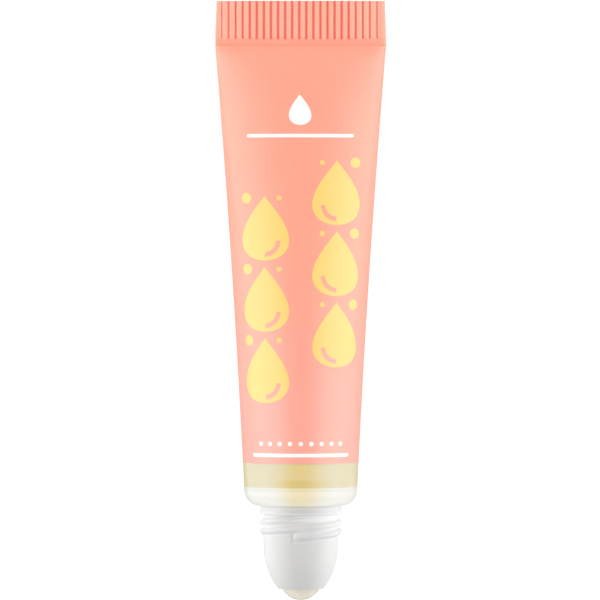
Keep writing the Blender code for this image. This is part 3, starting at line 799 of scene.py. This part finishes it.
def housing_inside(head, housing, ball):
    """Socket round the ball, bore round the seat, and the hole that snaps on to the spigot."""
    gap = head.seam_gap
    socket = ball.diameter / 2 + ball.clearance
    centre = ball_station(head, housing, ball)
    drop = ball.diameter / 2 - ball.proud
    seat = socket + ball.seat_step
    cup = seat - ball.seat_rim
    cup_rim = centre + math.sqrt(socket**2 - cup**2)
    hole = housing.collar_diameter / 2 - housing.collar_wall
    hole_end = spigot_end(head) - gap - ball.seat_flange - gap
    bead = -head.shoulder_height - head.spigot_length / 2
    half_groove = head.bead_length / 2 + gap
    foot = collar_foot(head)
    lip_angle = math.asin(drop / socket)
    points = arc(centre, 0, socket, socket, -lip_angle, 0, SOCKET_ROWS)
    points += [(socket, cup_rim - gap), (seat + gap, cup_rim - gap), (seat + gap, hole_end),
               (hole, hole_end), (hole, bead - half_groove), (hole + head.bead_height, bead),
               (hole, bead + half_groove), (hole, foot)]
    return points


def painted_ridge_light(points, head, housing):
    """Painted light and shade that even out the shading of the collar's ridges: from 0 on the crests,
    which are painted darker, over a half where the collar is plain, to 1 on steep flanks and between
    ridges, which are painted paler.

    Between ridges it is the lesser of the highest radius within a reach above a point and the highest
    below it, less its own radius. At the foot of one ridge it is the highest radius within a shorter
    reach, less its own, times a share. On flanks it is 1 - cos(tilt), times a gain. Under the ledge
    it falls from 1 to a half.
    """
    radius = np.hypot(points[..., 0], points[..., 2])
    station = points[:, 0, 1]
    foot = collar_foot(head)
    pale = np.zeros_like(radius)
    rows = np.flatnonzero((station > dome_base(head, housing)) & (station < foot)
                          & (radius.min(axis=1) > housing.collar_diameter / 2 * OUTSIDE_SHARE))
    for row in rows:
        gap = station - station[row]
        near = (np.abs(gap) < housing.nook_reach) & (station < foot)
        above = radius[near & (gap >= 0)].max(axis=0)
        below = radius[near & (gap <= 0)].max(axis=0)
        close = (np.abs(gap) < housing.foot_reach) & (station < foot)
        beside = (radius[close].max(axis=0) - radius[row]) * housing.foot_share
        pale[row] = np.maximum(np.minimum(above, below) - radius[row], beside) / housing.thread_height
    rise = np.diff(radius[rows], axis=0)
    run = np.abs(np.diff(station[rows]))[:, None]
    steep = 1 - run / np.hypot(rise, run)
    steep = np.concatenate((steep, steep[-1:]))
    pale[rows] = np.maximum(pale[rows], steep * housing.flank_gain)
    corner = np.clip(1 - (foot - station) / housing.nook_corner, 0, 1)
    pale = np.clip(np.maximum(pale, corner[:, None]), 0, 1)
    crest = np.zeros_like(radius)
    ridges = rows[station[rows] < foot - housing.flange_length - housing.edge_round]
    crest[ridges] = (radius[ridges] - housing.collar_diameter / 2) / housing.thread_height
    return relief_of(pale, np.clip(crest, 0, 1) * (1 - pale))


def make_housing(sleeve, head, housing, ball, material):
    profile = (housing_outside(head, housing, ball) + housing_lip(head, housing, ball)
               + housing_inside(head, housing, ball))
    points = turned(profile + profile[:1], HOUSING_COLUMNS, thread_swell(head, housing))
    obj = add_grid("threaded_nose", points, sleeve, relief=painted_ridge_light(points, head, housing))
    finish_piece(obj, "tube", "white_plastic", material, "roller_housing")


# Ball


BALL_ROWS = 73
BALL_COLUMNS = 128


def make_ball(sleeve, head, housing, ball, material):
    """A sphere on a grid of longitude and latitude, with its poles on the tube's axis."""
    latitude = np.linspace(-math.pi / 2, math.pi / 2, BALL_ROWS)
    radius = ball.diameter / 2
    centre = ball_station(head, housing, ball)
    profile = np.stack((radius * np.cos(latitude), centre + radius * np.sin(latitude)), axis=-1)
    obj = add_grid("cream_ball", turned(profile, BALL_COLUMNS), sleeve)
    finish_piece(obj, "ball", "ball_plastic", material, "roller_ball")


# Oil


OIL_COLUMNS = 160
OIL_ROWS = 48
OIL_SHOULDER_ROWS = 10
OIL_ROW_POWER = 1.6


def make_oil(sleeve, head, housing, oil, material):
    """Rings in the spigot and the hollow shoulder, then the sleeve's sections drawn in by its wall."""
    side_shares = np.cos(np.linspace(0, math.pi, OIL_COLUMNS // 2 + 1))
    gap = head.seam_gap
    bore = housing.collar_diameter / 2 - housing.collar_wall - gap - head.spigot_wall - oil.gap
    floor = -head.shoulder_height + head.shoulder_wall + oil.gap
    ledge = housing.collar_diameter / 2 + housing.thread_height + head.ledge
    skirt = sleeve.diameter / 2 - sleeve.wall - gap - head.skirt_wall - oil.gap
    profile = [(0, spigot_end(head)), (bore, spigot_end(head)), (bore, floor)]
    start = head.skirt_height + oil.gap
    profile += arc(-gap, ledge, skirt - ledge, -gap - floor, -math.pi / 2, 0, OIL_SHOULDER_ROWS)
    profile += [(skirt, start)]
    radius, station = np.array(profile).T[:, :, None]
    across, sign = sleeve_columns(sleeve, station[:, 0], side_shares)
    rise = np.sqrt(1 - np.clip(np.abs(across), 0, 1) ** 2) * sign[None, :]
    lower = np.stack(np.broadcast_arrays(radius * across, station, radius * rise), axis=-1)
    t = np.linspace(0, 1, OIL_ROWS)
    top = oil.level_share * sleeve.body_length
    stations = start + (top - start) * (1 - (1 - t) ** OIL_ROW_POWER)
    across, sign = sleeve_columns(sleeve, stations, side_shares)
    upper = sleeve_skin(sleeve, stations, across, sign, sleeve.wall + oil.gap)
    shut = upper[-1:].copy()
    shut[..., 2] = 0
    obj = add_grid("oil", np.concatenate((lower, upper, shut)), sleeve)
    finish_piece(obj, "tube", "oil", material, "oil_fill")


# Materials


SOFT_PLASTIC_IOR = 1.5
HARD_PLASTIC_IOR = 1.49
OIL_IOR = 1.47
MILKY_SHEEN = {"Sheen_Weight": 0.3, "Sheen_Roughness": 0.4}
SMOOTH_DETAIL = 1.0
GRAINY_DETAIL = 3.0
STREAKY_DETAIL = 4.0
NOISE_LOW = 0.3
NOISE_HIGH = 0.7
PATCH_LOW = 0.35
PATCH_HIGH = 0.65
# Ranges of the relief attribute that take painted highlight, shade and light.
RIDGE_RELIEF = (0.55, 1.0)
LINE_RELIEF = (0.45, 0.05)
CREST_RELIEF = (0.5, 0.0)
NOOK_RELIEF = (0.5, 0.95)
DROP_TAPER_POWER = 0.62
DROP_WIDEST = 0.72
GRAIN_RELIEF_SHARE = 0.35
INK_RELIEF_SHARE = 0.5
SEAT_PALE_GAIN = 1.05
FIBRE_GAIN = 1.02


class Amount:
    """A number that the nodes work out at each point. Every sum with it adds a Math node."""

    def __init__(self, nodes, socket):
        self.nodes = nodes
        self.socket = socket

    def __add__(self, other):
        return self.nodes.math("ADD", self, other)

    def __sub__(self, other):
        return self.nodes.math("SUBTRACT", self, other)

    def __rsub__(self, other):
        return self.nodes.math("SUBTRACT", other, self)

    def __mul__(self, other):
        return self.nodes.math("MULTIPLY", self, other)

    def __truediv__(self, other):
        return self.nodes.math("DIVIDE", self, other)

    def __pow__(self, other):
        return self.nodes.math("POWER", self, other)

    def __neg__(self):
        return self.nodes.math("MULTIPLY", self, -1.0)

    def __abs__(self):
        return self.nodes.math("ABSOLUTE", self)

    def root(self):
        return self.nodes.math("SQRT", self)

    def floor(self):
        return self.nodes.math("FLOOR", self)

    def at_least(self, other):
        return self.nodes.math("MAXIMUM", self, other)

    def at_most(self, other):
        return self.nodes.math("MINIMUM", self, other)

    def above(self, other):
        """1 where this is greater than the other, and 0 elsewhere."""
        return self.nodes.math("GREATER_THAN", self, other)

    def below(self, other):
        return self.nodes.math("LESS_THAN", self, other)

    def ramp(self, low, high, low_result=0.0, high_result=1.0):
        """The low result up to low, the high result from high on, and a smooth step between."""
        node = self.nodes.add("ShaderNodeMapRange", {
            "Value": self, "From Min": low, "From Max": high,
            "To Min": low_result, "To Max": high_result}, interpolation_type="SMOOTHSTEP")
        return Amount(self.nodes, node.outputs["Result"])

    def spread(self, low_result=0.0, high_result=1.0):
        """Noise made to reach both results."""
        return self.ramp(NOISE_LOW, NOISE_HIGH, low_result, high_result)

    def patches(self, low_result=0.0, high_result=1.0):
        """Noise turned into patches of the two results with soft edges."""
        return self.ramp(PATCH_LOW, PATCH_HIGH, low_result, high_result)


class Nodes:
    """Short ways to write a node tree: each method adds its node and gives what comes out."""

    def __init__(self, tree):
        self.tree = tree

    def add(self, kind, inputs=None, **settings):
        node = self.tree.nodes.new(kind)
        for key, value in settings.items():
            setattr(node, key, value)
        for key, value in (inputs or {}).items():
            self.feed(node.inputs[key], value)
        return node

    def feed(self, socket, value):
        """Links a value from another node, or writes a constant into the socket."""
        if isinstance(value, Amount):
            value = value.socket
        if isinstance(value, bpy.types.NodeSocket):
            self.tree.links.new(value, socket)
        elif socket.type == "RGBA" and len(value) == 3:
            socket.default_value = (*value, 1)
        else:
            socket.default_value = value

    def math(self, operation, *values):
        node = self.add("ShaderNodeMath", operation=operation)
        for socket, value in zip(node.inputs, values):
            self.feed(socket, value)
        return Amount(self, node.outputs[0])

    def mix(self, amount, first, second, blend="MIX"):
        node = self.add("ShaderNodeMix", data_type="RGBA", blend_type=blend)
        for key, value in (("Factor", amount), ("A", first), ("B", second)):
            self.feed(node.inputs[key], value)
        return node.outputs["Result"]

    def object_place(self):
        return self.add("ShaderNodeTexCoord").outputs["Object"]

    def split(self, vector):
        """The x, y and z of a vector."""
        outputs = self.add("ShaderNodeSeparateXYZ", {"Vector": vector}).outputs
        return [Amount(self, outputs[axis]) for axis in "XYZ"]

    def relief(self):
        """What the piece's relief attribute says: 0 sunk, a half plain, 1 raised; on the housing, 0 where
            crests are painted darker and 1 where nooks and flanks are painted paler.
        """
        return Amount(self, self.add("ShaderNodeAttribute", attribute_name="relief").outputs["Fac"])

    def rays(self, *kinds):
        """For each kind of ray, 1 where such a ray looks and 0 for the others."""
        outputs = self.add("ShaderNodeLightPath").outputs
        return [Amount(self, outputs[kind]) for kind in kinds]

    def noise(self, size, detail=2.0, roughness=0.5):
        """Noise whose features are about size across."""
        node = self.add("ShaderNodeTexNoise", {"Scale": 1 / size, "Detail": detail,
                                               "Roughness": roughness, "Vector": self.object_place()})
        return Amount(self, node.outputs["Fac"])


class Finish(Nodes):
    """The nodes of a new material, which end in its Principled BSDF."""

    def __init__(self, name):
        self.material = bpy.data.materials.new(name)
        self.material.use_nodes = True
        super().__init__(self.material.node_tree)
        self.shader = self.tree.nodes["Principled BSDF"]

    def set(self, **values):
        for key, value in values.items():
            self.feed(self.shader.inputs[key.replace("_", " ")], value)

    def bump(self, height, depth):
        node = self.add("ShaderNodeBump", {"Strength": 1.0, "Distance": depth, "Height": height})
        self.feed(self.shader.inputs["Normal"], node.outputs["Normal"])


def motif_edge(inside, printed):
    """0 where inside is 0 or less, and 1 from just past the print's soft edge."""
    return inside.ramp(0.0, 2 * printed.edge)


def reach_of(x, y):
    """How far (x, y) is from (0, 0)."""
    return (x * x + y * y).root()


def drop_mask(x, y, width, drop_length, printed):
    """A drop: its half width is sqrt(1 - s^2) * ((1 - s) / 2)^0.62 / 0.72, with s from -1 at its round
    end to 1 at its tip."""
    s = (y / (drop_length / 2)).at_least(-1.0).at_most(1.0)
    taper = ((1.0 - s) * 0.5) ** DROP_TAPER_POWER
    half = (1.0 - s * s).root() * taper * (width / 2 / DROP_WIDEST)
    return motif_edge(half - abs(x), printed)


def bar_mask(x, y, half_length, radius, printed):
    """A bar with round ends: within radius of a straight line from -half_length to half_length."""
    past = (abs(x) - half_length).at_least(0.0)
    return motif_edge(radius - reach_of(past, y), printed)


def dot_mask(x, y, radius, printed):
    return bar_mask(x, y, 0.0, radius, printed)


def glint_mask(x, y, printed):
    """A quarter of a ring in the lower left of a drop's round part."""
    from_belly = y + printed.belly_drop
    ring = printed.glint_width / 2 - abs(reach_of(x, from_belly) - printed.glint_radius)
    return motif_edge(ring.at_most((-x).at_most(-from_belly)), printed)


def yellow_mask(around, along, sleeve, printed):
    """Two columns of drops on the front and two on the back, half a pitch apart, with dots beside
    the tips. The sides of the sleeve stay bare."""
    face = math.pi * sleeve.diameter / 2
    half_pitch = printed.pitch / 2
    x = around - (around / face + 0.5).floor() * face
    outward = abs(x) - printed.column_shift
    run = along - printed.start - x.above(0.0) * half_pitch
    row = (run / printed.pitch).floor()
    y = run - row * printed.pitch - half_pitch
    drop = drop_mask(outward, y, printed.drop_width, printed.drop_length, printed)
    drop = drop * (1.0 - glint_mask(outward, y, printed))
    up_to_tip = half_pitch - printed.big_dot - y
    big = dot_mask(outward - printed.big_dot_aside, up_to_tip, printed.big_dot, printed)
    small = dot_mask(outward + printed.small_dot_aside, up_to_tip, printed.small_dot, printed)
    in_rows = row.above(-0.5) * row.below(printed.rows - 0.5)
    return drop.at_least(big.at_least(small)) * in_rows


def white_mask(around, along, printed):
    """A small drop over a thin line near the seal, and a row of dots over a line above the window."""
    marks = drop_mask(around, along - printed.white_station, printed.white_width, printed.white_length,
                      printed)
    for station in (printed.line_station, printed.low_line_station):
        bar = bar_mask(around, along - station, printed.line_half, printed.line_radius, printed)
        marks = marks.at_least(bar)
    bead_x = around - (around / printed.bead_pitch + 0.5).floor() * printed.bead_pitch
    beads = dot_mask(bead_x, along - printed.bead_station, printed.bead_radius, printed)
    in_row = abs(around).below(printed.bead_half + printed.bead_pitch / 2)
    return marks.at_least(beads * in_row)


def print_place(nodes):
    """The place round and along the sleeve."""
    uv = nodes.add("ShaderNodeUVMap", uv_map="print place").outputs["UV"]
    around, along, _ = nodes.split(uv)
    return around * MM, along * MM


def off_middle(nodes, start, end, inner=0.0, outer=1.0):
    """The inner value along the middle of the front and back, as far as start to either side, and the
    outer value from end outwards."""
    across = nodes.split(nodes.object_place())[0]
    return abs(across).ramp(start, end, inner, outer)


def printed_plastic(sleeve, printed, finish, colours):
    """Satin coral ink with yellow and white ink on it. It is darker in the pressed lines, deeper ink
    and painted shade, and paler on the seal's ridges, stretched ink and a painted highlight; painted
    light makes it paler at the fold and towards the window.
    """
    nodes = Finish("coral print")
    around, along = print_place(nodes)
    relief = nodes.relief()
    cloud = nodes.noise(finish.print_cloud, GRAINY_DETAIL)
    # Painted light: the ink is painted paler near the fold, where shade falls.
    off_fold = abs(along - sleeve.body_length)
    # Painted shade: the lines are painted deeper on top of their deeper ink, less so at the sides.
    lined = relief.ramp(*LINE_RELIEF) * off_middle(nodes, finish.side_lines_start, finish.side_lines_end,
                                                   1.0, finish.side_lines_share)
    yellow = yellow_mask(around, along, sleeve, printed)
    # Painted light: the ink is painted paler towards the window.
    layers = ((along.ramp(finish.coral_top, finish.coral_foot), colours.coral_low_painted_light),
              (cloud.ramp(PATCH_LOW, NOISE_HIGH, 0.0, finish.print_cloud_share), colours.pale_coral_and_painted_light),
              (off_fold.ramp(finish.fold_reach, finish.fold_core, 0.0, finish.fold_share),
               colours.pale_coral_and_painted_light),
              # Stretched ink and a painted highlight on the seal's ridges.
              (relief.ramp(*RIDGE_RELIEF), colours.pale_coral_and_painted_light),
              (lined, colours.deep_coral_and_painted_shade),
              (yellow, colours.yellow),
              (white_mask(around, along, printed), colours.white))
    ink = colours.coral
    for amount, colour_over in layers:
        ink = nodes.mix(amount, ink, colour_over)
    grain = nodes.noise(finish.print_grain, GRAINY_DETAIL, 0.6)
    nodes.set(Base_Color=ink, Roughness=grain.spread(0.38, 0.44), IOR=SOFT_PLASTIC_IOR,
              Specular_IOR_Level=1.0, Sheen_Weight=0.02, Sheen_Roughness=0.5, Subsurface_Weight=0.4,
              Subsurface_Radius=(1.0, 0.45, 0.3), Subsurface_Scale=finish.print_scatter)
    nodes.bump(grain * GRAIN_RELIEF_SHARE + yellow * INK_RELIEF_SHARE, finish.print_depth)
    return nodes.material


def milky_tint(nodes, along, finish, colours):
    """The milky plastic's colour and its haze: the oil's glow along the middle is painted light, less
    towards the ledge, and next to the ledge the plastic is painted paler, also painted light."""
    haze = nodes.noise(finish.haze_size, SMOOTH_DETAIL)
    # Painted light: the oil's glow along the middle.
    beside = off_middle(nodes, finish.glow_core, finish.glow_reach)
    lower = along.ramp(finish.glow_fade_start, finish.glow_fade_end, 0.0, finish.glow_fade_share)
    amount = (beside + lower + haze.spread(0.0, finish.cloud_share)).at_most(1.0)
    # Painted light: paler next to the ledge, where the foot is in shade.
    milky = nodes.mix(along.ramp(finish.foot_start, finish.foot_end), colours.milky, colours.milky_painted_foot_light)
    return nodes.mix(amount, colours.glow, milky), haze


def natural_film(finish, colours):
    """Thin plastic in the colour that the oil behind it gives it, painted deepest along the middle and
    paler beside it as painted light, and darker next to the skirt and at its edges as painted shade.
    It looks milky over the skirt.
    """
    nodes = Finish("natural film")
    _, along = print_place(nodes)
    milky, haze = milky_tint(nodes, along, finish, colours)
    beside = off_middle(nodes, finish.glow_core, finish.glow_reach)
    # Painted shade next to the skirt and at the edges.
    next_to_skirt = (1.0 - beside) * along.ramp(finish.deep_end, finish.deep_full)
    at_edges = off_middle(nodes, finish.film_edge_start, finish.film_edge_end, 0.0,
                          finish.film_edge_share)
    # Painted light: the oil's yellow is deepest along the middle and paler beside it.
    film = nodes.mix(beside, colours.film, colours.film_side)
    film = nodes.mix(next_to_skirt.at_least(at_edges), film, colours.film_painted_shade)
    film = nodes.mix(haze.spread(0.0, finish.cloud_share), film, colours.milky)
    base = nodes.mix(along.ramp(finish.film_start, finish.film_full), milky, film)
    nodes.set(Base_Color=base, Roughness=haze.spread(0.3, 0.34), IOR=SOFT_PLASTIC_IOR,
              Subsurface_Weight=0.6, Subsurface_Radius=(1.0, 0.8, 0.4),
              Subsurface_Scale=finish.film_scatter, **MILKY_SHEEN)
    return nodes.material


def milky_plastic(finish, colours):
    """Thicker milky moulding of the shoulder and spigot."""
    nodes = Finish("milky shoulder plastic")
    _, along = print_place(nodes)
    milky, haze = milky_tint(nodes, along, finish, colours)
    nodes.set(Base_Color=milky, Roughness=haze.spread(0.3, 0.36), IOR=SOFT_PLASTIC_IOR, **MILKY_SHEEN)
    nodes.bump(nodes.noise(finish.shoulder_grain), finish.grain_depth)
    return nodes.material


def housing_plastic(finish, colours):
    """White moulding that light spreads far inside. Its sides are painted paler than its middle, a
    painted light, and its nooks and steep flanks are painted paler and its crests darker, painted
    light and shade that make the ridges and the nooks between them differ little."""
    nodes = Finish("white moulded plastic")
    cloud = nodes.noise(finish.moulded_cloud, GRAINY_DETAIL).patches(0.0, finish.cloud_share)
    # Painted light: the sides are painted paler than the middle.
    amount = off_middle(nodes, finish.housing_core, finish.housing_reach, 0.0, finish.housing_side_share)
    amount = amount + cloud
    relief = nodes.relief()
    base = nodes.mix(amount, colours.housing, colours.housing_painted_side_light)
    # Painted shade on the crests, and painted light in the nooks and on steep flanks.
    base = nodes.mix(relief.ramp(*CREST_RELIEF), base, colours.housing_painted_crest_shade, "MULTIPLY")
    nook = nodes.mix(amount, colours.housing_painted_nook_light, colours.housing_painted_side_nook_light)
    base = nodes.mix(relief.ramp(*NOOK_RELIEF, 0.0, finish.nook_share), base, nook)
    grain = nodes.noise(finish.moulded_grain, GRAINY_DETAIL)
    nodes.set(Base_Color=base, Roughness=grain.spread(0.42, 0.5), IOR=HARD_PLASTIC_IOR,
              Specular_IOR_Level=0.25, Sheen_Weight=0.35, Sheen_Roughness=0.3, Subsurface_Weight=1.0,
              Subsurface_Radius=(1.0, 1.0, 1.0), Subsurface_Scale=finish.housing_scatter)
    nodes.bump(nodes.noise(finish.moulded_grain), finish.grain_depth)
    return nodes.material


def seat_plastic(finish, colours):
    """Satin moulding with a fine even grain and a faint cloud in its colour."""
    nodes = Finish("seat plastic")
    cloud = nodes.noise(finish.moulded_cloud, GRAINY_DETAIL)
    pale = tuple(min(1, value * SEAT_PALE_GAIN) for value in colours.seat)
    grain = nodes.noise(finish.moulded_grain, GRAINY_DETAIL)
    nodes.set(Base_Color=nodes.mix(cloud.patches(), colours.seat, pale), IOR=HARD_PLASTIC_IOR,
              Roughness=grain.spread(0.4, 0.48))
    nodes.bump(nodes.noise(finish.moulded_grain), finish.grain_depth)
    return nodes.material


def ball_plastic(finish, colours):
    """Polished cream plastic with soft paler streaks, wet with oil."""
    nodes = Finish("cream ball plastic")
    streaks = nodes.noise(finish.streak_size, STREAKY_DETAIL, 0.6)
    nodes.set(Base_Color=nodes.mix(streaks.patches(), colours.ball, colours.ball_streak),
              Roughness=streaks.spread(0.2, 0.26), IOR=HARD_PLASTIC_IOR, Coat_Weight=0.3,
              Coat_Roughness=0.06, Coat_IOR=OIL_IOR)
    nodes.bump(nodes.noise(finish.ball_grain), finish.grain_depth)
    return nodes.material


def clear_oil(finish, colours):
    """Clear oil, which colours the light that passes through it."""
    nodes = Finish("clear oil")
    ripple = nodes.noise(finish.ripple_size, SMOOTH_DETAIL)
    nodes.set(Base_Color=nodes.mix(ripple, colours.oil_surface, colours.oil_ripple),
              Roughness=ripple.spread(0.0, 0.03), IOR=OIL_IOR, Transmission_Weight=1.0)
    absorb = nodes.add("ShaderNodeVolumeAbsorption",
                       {"Color": colours.oil, "Density": colours.oil_density})
    output = nodes.tree.nodes["Material Output"]
    nodes.feed(output.inputs["Volume"], absorb.outputs["Volume"])
    return nodes.material


# Stage


FLOOR_SEGMENTS = 8


def make_floor(stage, finish):
    """A matt sheet that shows white by itself to the camera and through clear parts, so that the
    shadow on it stays pale and the sheet throws little light back on to the tube. In reflections it is
    dark beside the tube and brighter further out."""
    bm = bmesh.new()
    bmesh.ops.create_grid(bm, x_segments=FLOOR_SEGMENTS, y_segments=FLOOR_SEGMENTS,
                          size=stage.floor_size / 2)
    bmesh.ops.translate(bm, verts=bm.verts, vec=(0, 0, -stage.floor_drop))
    mesh = bpy.data.meshes.new("floor")
    bm.to_mesh(mesh)
    bm.free()
    floor = bpy.data.objects.new("floor", mesh)
    bpy.context.scene.collection.objects.link(floor)
    nodes = Finish("floor paper")
    camera, through, glossy = nodes.rays("Is Camera Ray", "Is Transmission Ray", "Is Glossy Ray")
    x, y, _ = nodes.split(nodes.object_place())
    shown = reach_of(x, y).ramp(stage.lit_reach, stage.unlit_reach, stage.floor_glow, 1.0)
    beside = (abs(x) - stage.tube_half_width).at_least(0.0)
    beyond = (abs(y) - stage.tube_half_length).at_least(0.0)
    gleam = reach_of(beside, beyond).ramp(stage.dull_reach, stage.gleam_reach, 0.0, stage.floor_gleam)
    glow = (camera.at_least(through) * shown).at_least(glossy * gleam)
    shade = (stage.floor_shade,) * 3
    pale = (stage.floor_shade * FIBRE_GAIN,) * 3
    fibre = nodes.noise(finish.fibre_size, GRAINY_DETAIL)
    nodes.set(Base_Color=nodes.mix(fibre, shade, pale), Roughness=0.9, Specular_IOR_Level=0.0,
              Emission_Color=(1, 1, 1), Emission_Strength=glow)
    mesh.materials.append(nodes.material)


def make_world(stage):
    """White to the camera and through clear parts. In reflections it is greyer, most of all overhead,
    and as a light it is plain and low."""
    world = bpy.data.worlds.new("studio")
    world.use_nodes = True
    bpy.context.scene.world = world
    nodes = Nodes(world.node_tree)
    camera, through, glossy = nodes.rays("Is Camera Ray", "Is Transmission Ray", "Is Glossy Ray")
    height = nodes.split(nodes.add("ShaderNodeTexCoord").outputs["Generated"])[2]
    ceiling = height.ramp(stage.ceiling_start, stage.ceiling_full, stage.horizon_level,
                          stage.zenith_level)
    level = camera.at_least(through).at_least(glossy * ceiling).at_least(stage.world_level)
    background = nodes.tree.nodes["Background"]
    nodes.feed(background.inputs["Color"], (1.0, 1.0, 1.0))
    nodes.feed(background.inputs["Strength"], level)


def add_softbox(name, location, target, size, level):
    """A rectangular lamp whose face has the given brightness: its power is that times pi and its area."""
    light = bpy.data.lights.new(name, "AREA")
    light.shape = "RECTANGLE"
    light.size, light.size_y = size
    light.energy = level * math.pi * size[0] * size[1]
    lamp = bpy.data.objects.new(name, light)
    bpy.context.scene.collection.objects.link(lamp)
    back = (Vector(location) - Vector(target)).normalized()
    across = Vector((0, 1, 0)).cross(back).normalized()
    axes = Matrix((across, back.cross(across), back)).transposed().to_4x4()
    lamp.matrix_world = Matrix.Translation(location) @ axes
    lamp.visible_camera = False
    return lamp


def make_lamps(stage):
    """On each side of the tube a bright strip low down and a weaker, broader softbox above it."""
    kinds = (("strip", stage.strip_width, stage.strip_angle, stage.strip_level),
             ("softbox", stage.softbox_width, stage.softbox_angle, stage.softbox_level))
    for kind, width, height_angle, level in kinds:
        for side_name, side in (("left", -1), ("right", 1)):
            aside = side * stage.lamp_distance * math.cos(height_angle)
            height = stage.lamp_distance * math.sin(height_angle)
            size = (width, stage.lamp_length)
            add_softbox(kind + "_" + side_name, (aside, stage.lamp_shift, height),
                        (0, stage.lamp_shift, 0), size, level)


def make_camera(stage, sleeve):
    """Looks straight at the printed front, square to the tube's axis, with the seal at the top."""
    camera_data = bpy.data.cameras.new("camera")
    camera_data.lens = camera_data.sensor_width * stage.camera_distance / stage.frame_width
    camera = bpy.data.objects.new("camera", camera_data)
    bpy.context.scene.collection.objects.link(camera)
    target = place(np.array((-stage.side_shift, stage.centre_station, 0)), sleeve)
    location = target + stage.camera_distance * UP
    axes = Matrix((Vector((1, 0, 0)), Vector(ALONG), Vector(UP))).transposed().to_4x4()
    camera.matrix_world = Matrix.Translation(location) @ axes
    bpy.context.scene.camera = camera


# Operators


class RollerballOperator(bpy.types.Operator):
    bl_options = {"REGISTER", "UNDO"}

    def settings(self, context):
        scene = context.scene
        return {name.removeprefix("rollerball_"): getattr(scene, name) for name in GROUPS}


class ROLLERBALL_OT_sleeve(RollerballOperator):
    """Builds the printed sleeve with its pressed seal, and the bare window at its round end"""
    bl_idname = "rollerball.sleeve"
    bl_label = "Sleeve"

    def execute(self, context):
        s = self.settings(context)
        coral = printed_plastic(s["sleeve"], s["print"], s["finish"], s["colours"])
        make_printed_sleeve(s["sleeve"], coral)
        make_window(s["sleeve"], natural_film(s["finish"], s["colours"]))
        return {"FINISHED"}


class ROLLERBALL_OT_head(RollerballOperator):
    """Builds the milky shoulder and its spigot"""
    bl_idname = "rollerball.head"
    bl_label = "Shoulder"

    def execute(self, context):
        s = self.settings(context)
        milky = milky_plastic(s["finish"], s["colours"])
        make_head(s["sleeve"], s["head"], s["housing"], milky)
        return {"FINISHED"}


class ROLLERBALL_OT_housing(RollerballOperator):
    """Builds the roller housing with its thread, dome and lip"""
    bl_idname = "rollerball.housing"
    bl_label = "Roller housing"

    def execute(self, context):
        s = self.settings(context)
        white = housing_plastic(s["finish"], s["colours"])
        make_housing(s["sleeve"], s["head"], s["housing"], s["ball"], white)
        return {"FINISHED"}


class ROLLERBALL_OT_ball(RollerballOperator):
    """Builds the ball, and finishes the seat behind it"""
    bl_idname = "rollerball.ball"
    bl_label = "Ball and seat"

    def execute(self, context):
        s = self.settings(context)
        cream = ball_plastic(s["finish"], s["colours"])
        make_ball(s["sleeve"], s["head"], s["housing"], s["ball"], cream)
        seat = frame["nodes"]["ball_seat"]
        seat.data.materials.clear()
        seat.data.materials.append(seat_plastic(s["finish"], s["colours"]))
        return {"FINISHED"}


class ROLLERBALL_OT_oil(RollerballOperator):
    """Builds the oil in the tube"""
    bl_idname = "rollerball.oil"
    bl_label = "Oil"

    def execute(self, context):
        s = self.settings(context)
        oil = clear_oil(s["finish"], s["colours"])
        make_oil(s["sleeve"], s["head"], s["housing"], s["oil"], oil)
        return {"FINISHED"}


class ROLLERBALL_OT_stage(RollerballOperator):
    """Builds the floor, the lamps, the surroundings and the camera"""
    bl_idname = "rollerball.stage"
    bl_label = "Stage"

    def execute(self, context):
        s = self.settings(context)
        make_floor(s["stage"], s["finish"])
        make_world(s["stage"])
        make_lamps(s["stage"])
        make_camera(s["stage"], s["sleeve"])
        context.scene.view_settings.view_transform = "Standard"
        return {"FINISHED"}


OPERATORS = (ROLLERBALL_OT_sleeve, ROLLERBALL_OT_head, ROLLERBALL_OT_housing, ROLLERBALL_OT_ball,
             ROLLERBALL_OT_oil, ROLLERBALL_OT_stage)


class ROLLERBALL_PT_pieces(bpy.types.Panel):
    """Lists the rollerball's pieces, sizes and colours"""
    bl_idname = "ROLLERBALL_PT_pieces"
    bl_label = "Rollerball"
    bl_space_type = "VIEW_3D"
    bl_region_type = "UI"
    bl_category = "Rollerball"

    def draw(self, context):
        for operator in OPERATORS:
            self.layout.operator(operator.bl_idname)
        for name, group in GROUPS.items():
            box = self.layout.box()
            box.label(text=name.removeprefix("rollerball_").title())
            for key in group.__annotations__:
                box.prop(getattr(context.scene, name), key)


CLASSES = (*GROUPS.values(), *OPERATORS, ROLLERBALL_PT_pieces)


def register():
    for cls in CLASSES:
        bpy.utils.register_class(cls)
    for name, group in GROUPS.items():
        setattr(bpy.types.Scene, name, bpy.props.PointerProperty(type=group))


def unregister():
    for name in GROUPS:
        delattr(bpy.types.Scene, name)
    for cls in reversed(CLASSES):
        bpy.utils.unregister_class(cls)


def main():
    register()
    bpy.ops.rollerball.sleeve()
    bpy.ops.rollerball.head()
    bpy.ops.rollerball.housing()
    bpy.ops.rollerball.ball()
    bpy.ops.rollerball.oil()
    bpy.ops.rollerball.stage()


if __name__ == "__main__":
    main()
